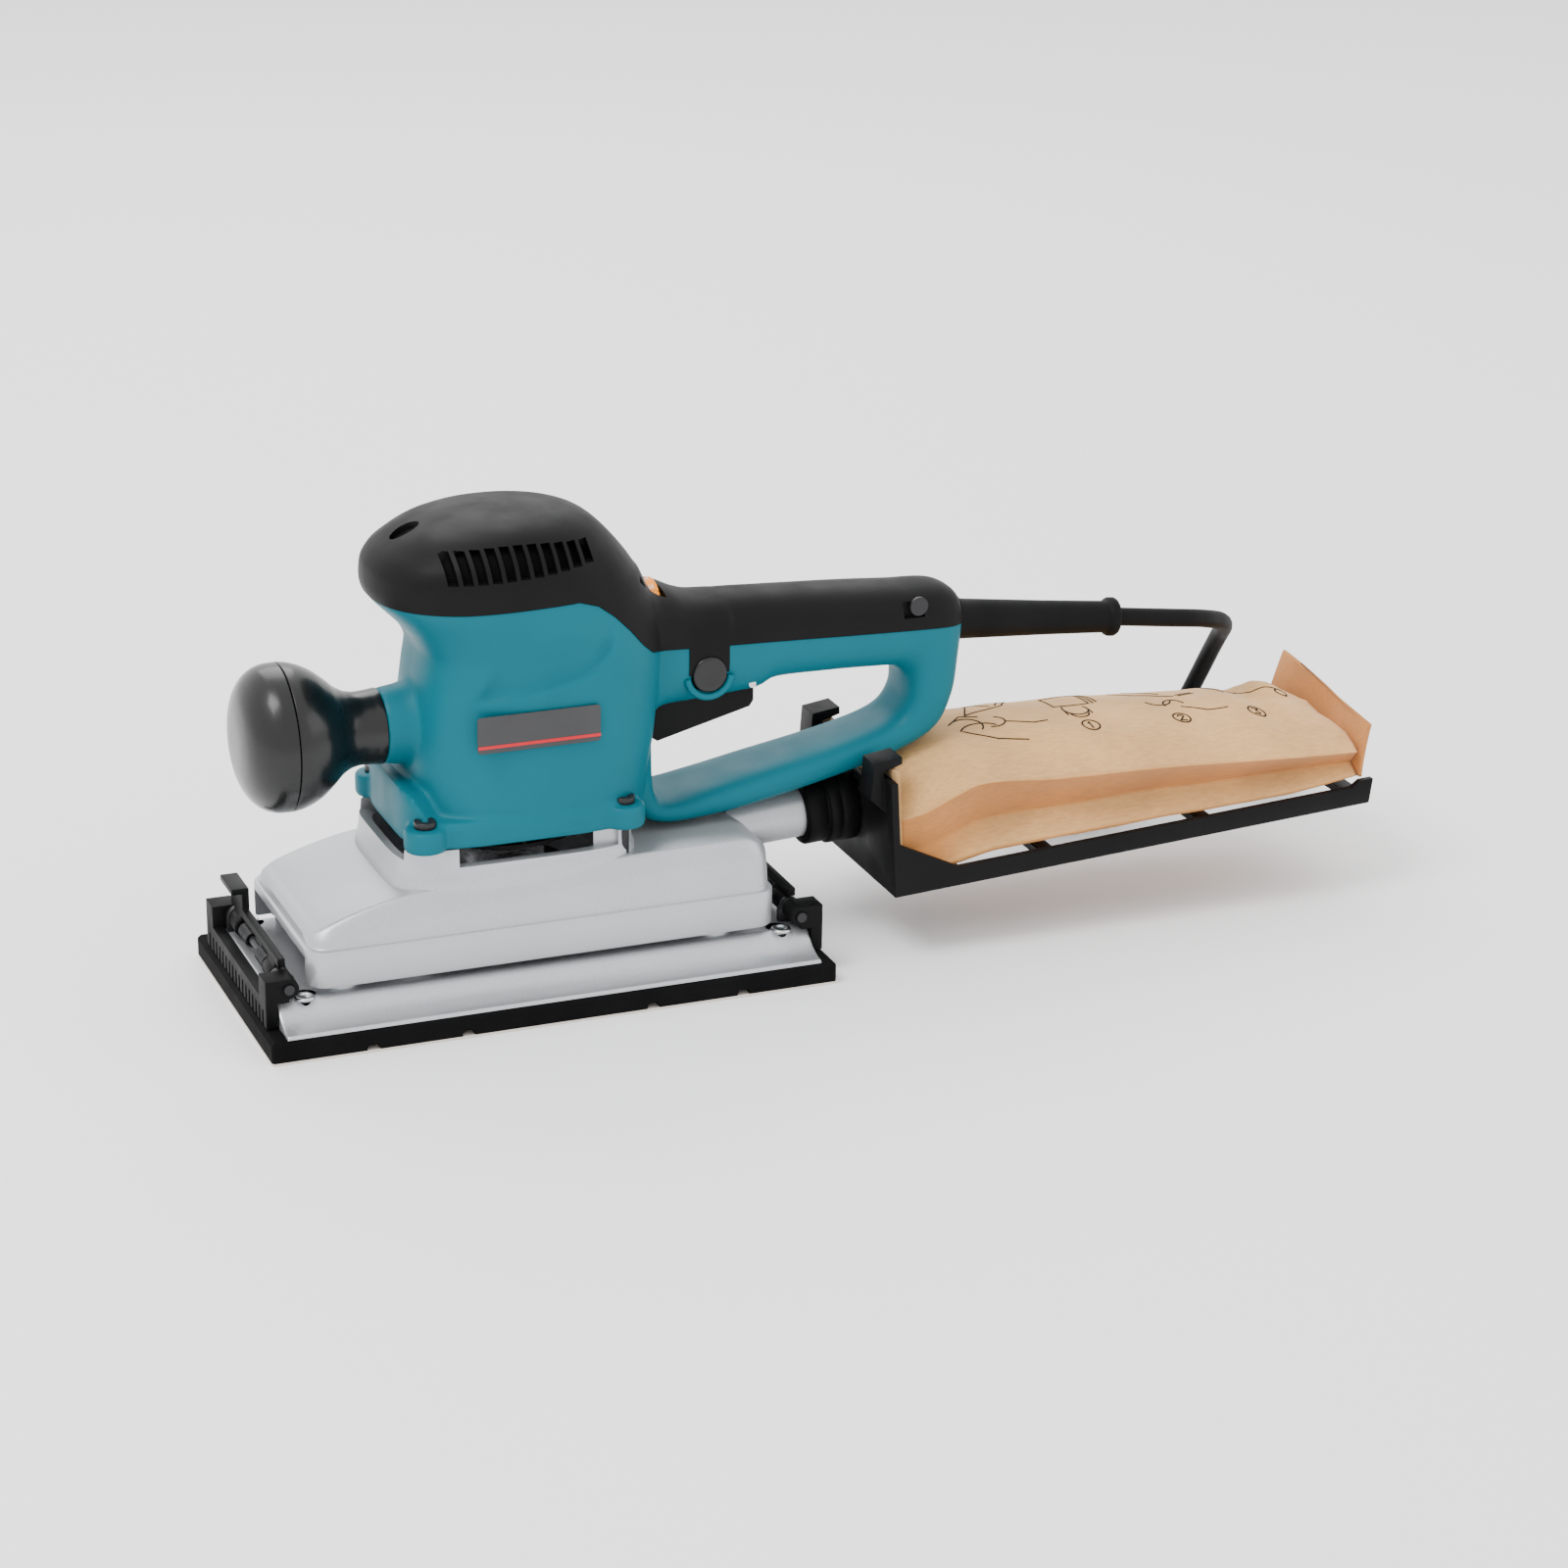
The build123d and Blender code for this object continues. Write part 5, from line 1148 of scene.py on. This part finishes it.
def print_marks():
    """Four plain fitting sketches: a bag, a pipe with a socket, a hand line and a fold, numbered 1 to 3."""
    marks = [
        [(104, 4), (124, 12), (132, 26), (112, 22), (104, 4)],
        [(122, 14), (128, 25)],
        [(119, 13), (110, 21.5)],
        arc(100, -6, 7, -40, 120), arc(104, -14, 9, 30, 150), [(97, -10), (108, -20), (120, -23)],
        [(94, -2), (101, 4), (108, 1)], arc(112, -6, 5, -120, 60), [(117, -8), (128, -12), (134, -11)],
        [(143, 2), (160, 4), (160, 20), (143, 16), (143, 2)],
        arc(151, -2, 5.5, 150, 390), arc(151, -6, 4.0, 180, 360),
        [(145.5, -2), (145.5, -7)], [(156.5, -2), (156.5, -7)], [(162, 4), (162, 21)], [(164, 5), (164, 22)],
        [(176, 18), (186, 12), (200, 6)], [(184, 22), (196, 12)],
        arc(190, 2, 6, 200, 340), arc(196, -4, 5, 20, 190),
        [(202, 8), (212, 14)], [(203, 6.8), (213, 12.8)], [(198, -6), (208, -10), (218, -9)],
        [(222, 24), (226, 10)], [(222, 24), (238, 8), (250, 4)], [(226, 20), (234, 14)], arc(249, 2, 2.5, 0, 360),
    ]
    for number, (x, y) in (("1", (151, -17)), ("2", (193, -16)), ("3", (229, -14))):
        marks.append(arc(x, y, 3.7, 0, 360, 28))
        for line in DIGITS[number]:
            marks.append([(x + 3.4 * (u - 0.5), y + 4.2 * (v - 0.5)) for u, v in line])
    return drawn([fine(m) for m in marks])


def coupling_skin():
    """Rubber socket: a stack of ribs along the pipe."""
    x = [27, 27.2, 28, 35, 35.6, 36, 36.4, 37, 41, 41.4, 42, 42.4, 43, 49.2, 49.6]
    r = [10.7, 13.4, 14, 14, 13.2, 13.0, 14.4, 15.1, 15.2, 14.5, 14.5, 15.1, 15.2, 15.2, 10.7]
    return tilted(turned(x, r, 96))


def make_dust_parts():
    """Dust pipe, coupling, bag holder, paper bag with its card, flap and printed marks."""
    coat("cast", "dust_pipe")
    socket = make_object("coupling_rubber", solid(coupling_skin()))
    place(socket, "rubber", "holder", replaces=("coupling_sleeve",))
    refined("bag_holder", "black", 0.6)
    bag = make_object("bag_paper", together(solid(tilted(bag_skin())), solid(tilted(flap_sheet()))))
    # painted shade on the paper's sideways faces, read by the paper finish
    mark_painted_side_shade(bag)
    place(bag, "paper", "bag", replaces=("dust_bag",))
    refined("bag_flange", "card", 0.3)
    place(make_object("bag_print", print_marks()), "ink", "bag")


# ---------------------------------------------------------------- cord
def coil_path():
    """Two flat layers of four turns: the radius steps by one pitch in the same short sector of each turn."""
    last = 4 * 360 + 3 * 360 + 282
    angle = np.arange(8, last + 0.1, 360 / COIL_TURN_POINTS)
    sector = 80.0
    r = np.full(len(angle), COIL_OUTER_R)
    upper_layer, climb = 4 * 360, 75
    for turn in range(4):
        r -= COIL_PITCH * soft_step((angle - (360 * turn + 360 - sector)) / sector)
        r += COIL_PITCH * soft_step((angle - (upper_layer + climb + 360 * turn)) / sector)
    z = CORD_WIDTH / 2 + 0.05 + (CORD_WIDTH + 0.1) * soft_step((angle - upper_layer) / climb)
    a = np.radians(angle)
    return np.stack([COIL_CENTRE[0] + r * np.cos(a), COIL_CENTRE[1] + r * np.sin(a), z], -1)


def spline_length(curve):
    """Length in metres of the curve's own line, measured on a mesh of it without thickness."""
    bare = curve.copy()
    bare.data = curve.data.copy()
    bare.data.bevel_depth = 0
    mesh = bare.to_mesh()
    points = np.array([v.co for v in mesh.vertices])
    length = float(np.linalg.norm(np.diff(points, axis=0), axis=1).sum())
    bare.to_mesh_clear()
    bpy.data.objects.remove(bare)
    return length


def make_cord():
    """Supply cord: one free NURBS line from the guard, down to a two-layer coil and on to the plug."""
    points = np.concatenate([np.array(CORD_ROUTE, float), coil_path(), np.array(TAIL_ROUTE, float)]) * MM
    curve = bpy.data.curves.new("supply_cord", "CURVE")
    curve.dimensions = "3D"
    line = curve.splines.new("NURBS")
    line.points.add(len(points) - 1)
    for spot, point in zip(line.points, points):
        spot.co = (*point, 1)
    line.order_u = 3
    line.use_endpoint_u = True
    line.resolution_u = 4
    curve.bevel_depth = CORD_WIDTH / 2 * MM
    curve.bevel_resolution = 4
    curve.use_fill_caps = True
    thing = bpy.data.objects.new("supply_cord", curve)
    bpy.context.scene.collection.objects.link(thing)
    place(thing, "rubber", replaces=("cord", "cord_coil", "cord_tail"))
    plug = make_plug()
    round(spline_length(thing), 3)


def make_plug():
    """Plug: a superellipse body carried along its axis, ribbed at the strain relief."""
    a, b = np.array(TAIL_ROUTE[-2]), np.array(TAIL_ROUTE[-1])
    heading = atan2(b[1] - a[1], b[0] - a[0])
    d = np.array([
        0.3, 0.5, 3, 3.4, 4.6, 5, 7, 7.4, 8.6, 9, 11,
        11.4, 12.6, 13, 16, 18, 22, 30, 44, 48.5, 49.8, 50,
    ])
    half_y = np.array([
        4.2, 4.6, 4.9, 4.6, 4.6, 5.2, 5.5, 5.0, 5.0, 5.8, 6.2,
        5.6, 5.6, 7, 9.4, 11.5, 13.2, 14, 14, 13.9, 13.2, 12,
    ])
    half_z = np.array([
        4.2, 4.6, 4.8, 4.5, 4.5, 5, 5.2, 4.8, 4.8, 5.4, 5.7,
        5.3, 5.3, 6.2, 7.6, 8.8, 9.6, 9.9, 9.9, 9.8, 9.2, 8,
    ])
    power = np.interp(d, [0, 13, 22, 50], [2, 2, 2.8, 3.6])
    c, s = oval(72, power)
    local = np.stack([d[:, None] + 0 * c, half_y[:, None] * c, half_z[:, None] * s], -1)
    turn = np.array([[cos(heading), -sin(heading), 0], [sin(heading), cos(heading), 0], [0, 0, 1]])
    body = make_object("plug_body", solid(local @ turn.T + b))
    place(body, "rubber", replaces=("plug",))
    coat("brass", "plug_pins")
    return body


# ---------------------------------------------------------------- small trim
def make_badge():
    """Plain badge plate with a red stripe, and no lettering."""
    refined("badge_plate", "badge", 0.25)
    low, high = (np.array(corner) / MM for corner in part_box("badge_plate"))
    stripe = brick(low[0] + 0.1, high[0] - 0.1, low[1] - 0.12, low[1] + 0.3, low[2] + 1.9, low[2] + 3.1)
    place(make_object("badge_stripe", stripe, False), "red")


def make_screws():
    """Finish of the small screws, which keep their CAD shapes."""
    coat("dark_steel", "cover_screws", "clamp_screws")


def make_insides():
    """Finishes of the motor, electrics, bearings and bolts, which keep their CAD shapes."""
    coat("steel", "armature_shaft", "knob_bolt", "lower_bearing", "upper_bearing", "pan_bearing")
    coat("steel", "bearing_retainer", "trigger_pin", "crank_weight")
    coat("lamination", "armature_core", "field_stator")
    coat("copper", "armature_windings", "field_coils", "commutator")
    coat("black", "cooling_fan", "dust_fan", "fan_baffle", "switch_body", "bearing_bridge", "cord_clamp")
    coat("brass", "brush_holders")
    coat("carbon", "carbon_brushes")
    coat("board", "speed_controller")
    coat("rubber", "lead_wires", "inner_lead")


# ---------------------------------------------------------------- stage
def make_stage():
    """Camera, plain pale floor, white surroundings and large soft lights."""
    scene = bpy.context.scene
    sizes = scene.sander_sizes
    lens = bpy.data.cameras.new("camera")
    lens.lens, lens.sensor_width = 90, 36
    lens.clip_start, lens.clip_end = 0.05, 50
    camera = bpy.data.objects.new("camera", lens)
    scene.collection.objects.link(camera)
    azimuth, elevation, roll = radians(-22.27), radians(20.44), radians(0.8)
    back = Vector((sin(azimuth) * cos(elevation), -cos(azimuth) * cos(elevation), sin(elevation)))
    camera.rotation_mode = "QUATERNION"
    camera.rotation_quaternion = (-back).to_track_quat("-Z", "Y")
    camera.rotation_quaternion @= Matrix.Rotation(roll, 3, "Z").to_quaternion()
    camera.location = (-0.4454, -1.3666, 0.6141)
    scene.camera = camera

    floor = make_object("floor", brick(-4000, 4000, -4000, 4000, -4, -0.2), False)
    paint, _, _, shader = start_finish("pale_floor", (0.95, 0.95, 0.95), 0.65)
    shader.inputs["Specular IOR Level"].default_value = 0.2
    floor.data.materials.append(paint)

    world = bpy.data.worlds.new("surroundings")
    world.use_nodes = True
    world.node_tree.nodes["Background"].inputs["Color"].default_value = (1, 1, 1, 1)
    world.node_tree.nodes["Background"].inputs["Strength"].default_value = sizes.world
    scene.world = world

    panels = (
        ("key", (-0.9, -0.35, 1.8), 0.8, sizes.key_light),
        ("side", (1.5, -0.9, 0.9), 0.9, 0.12 * sizes.key_light),
        ("back", (0.2, 1.5, 1.5), 1.2, 0.6 * sizes.key_light),
    )
    for name, place_at, size, power in panels:
        data = bpy.data.lights.new(name, "AREA")
        data.shape, data.size, data.energy = "SQUARE", size, power
        light = bpy.data.objects.new(name, data)
        light.location = place_at
        aim = Vector((0.05, 0, 0.08)) - light.location
        light.rotation_euler = aim.to_track_quat("-Z", "Y").to_euler()
        scene.collection.objects.link(light)
    make_finishes(scene.sander_look)


# ---------------------------------------------------------------- add-on
class SanderStage(bpy.types.Operator):
    """Sets up the camera, lights, floor and finishes"""

    bl_idname = "sander.stage"
    bl_label = "Stage"

    def execute(self, context):
        make_stage()
        return {"FINISHED"}


class SanderCord(bpy.types.Operator):
    """Lays the supply cord with its plug"""

    bl_idname = "sander.cord"
    bl_label = "Cord"

    def execute(self, context):
        make_cord()
        return {"FINISHED"}


class SanderBody(bpy.types.Operator):
    """Builds the motor housing and top cover"""

    bl_idname = "sander.body"
    bl_label = "Upper body"

    def execute(self, context):
        make_upper_body()
        return {"FINISHED"}


class SanderKnob(bpy.types.Operator):
    """Builds the front knob"""

    bl_idname = "sander.knob"
    bl_label = "Front knob"

    def execute(self, context):
        make_knob()
        return {"FINISHED"}


class SanderBase(bpy.types.Operator):
    """Builds the base casting and its screws"""

    bl_idname = "sander.base"
    bl_label = "Base casting"

    def execute(self, context):
        make_base()
        return {"FINISHED"}


class SanderPan(bpy.types.Operator):
    """Builds the pan, pad and abrasive sheet"""

    bl_idname = "sander.pan"
    bl_label = "Pan and pad"

    def execute(self, context):
        make_pan()
        return {"FINISHED"}


class SanderClamps(bpy.types.Operator):
    """Builds the paper clamps"""

    bl_idname = "sander.clamps"
    bl_label = "Paper clamps"

    def execute(self, context):
        make_clamps()
        return {"FINISHED"}


class SanderControls(bpy.types.Operator):
    """Builds the trigger, lock button and speed dial"""

    bl_idname = "sander.controls"
    bl_label = "Controls"

    def execute(self, context):
        make_controls()
        return {"FINISHED"}


class SanderDust(bpy.types.Operator):
    """Builds the dust pipe, coupling, holder and bag"""

    bl_idname = "sander.dust"
    bl_label = "Dust collection"

    def execute(self, context):
        make_dust_parts()
        return {"FINISHED"}


class SanderTrim(bpy.types.Operator):
    """Builds the cord guard, badge and small screws"""

    bl_idname = "sander.trim"
    bl_label = "Guard, badge and screws"

    def execute(self, context):
        make_guard()
        make_badge()
        make_screws()
        return {"FINISHED"}


class SanderInsides(bpy.types.Operator):
    """Gives the motor and electrics their finishes"""

    bl_idname = "sander.insides"
    bl_label = "Motor and electrics"

    def execute(self, context):
        make_insides()
        return {"FINISHED"}


STEPS = (
    SanderStage, SanderCord, SanderBody, SanderKnob, SanderBase, SanderPan, SanderClamps, SanderControls,
    SanderDust, SanderTrim, SanderInsides,
)


class SanderPanel(bpy.types.Panel):
    """Lists the sander's build steps and settings"""

    bl_idname = "VIEW3D_PT_sander"
    bl_label = "Finishing Sander"
    bl_space_type = "VIEW_3D"
    bl_region_type = "UI"
    bl_category = "Sander"

    def draw(self, context):
        for group in (context.scene.sander_look, context.scene.sander_sizes):
            for name in group.__annotations__:
                self.layout.prop(group, name)
        for step in STEPS:
            self.layout.operator(step.bl_idname)


CLASSES = (SanderLook, SanderSizes, *STEPS, SanderPanel)


def register():
    """Adds the classes and the scene's settings to Blender."""
    for cls in CLASSES:
        bpy.utils.register_class(cls)
    bpy.types.Scene.sander_look = bpy.props.PointerProperty(type=SanderLook)
    bpy.types.Scene.sander_sizes = bpy.props.PointerProperty(type=SanderSizes)


def unregister():
    """Takes them out again."""
    del bpy.types.Scene.sander_sizes
    del bpy.types.Scene.sander_look
    for cls in reversed(CLASSES):
        bpy.utils.unregister_class(cls)


def main():
    """Runs every step."""
    register()
    for step in STEPS:
        group, name = step.bl_idname.split(".")
        getattr(getattr(bpy.ops, group), name)()


if __name__ == "__main__":
    main()
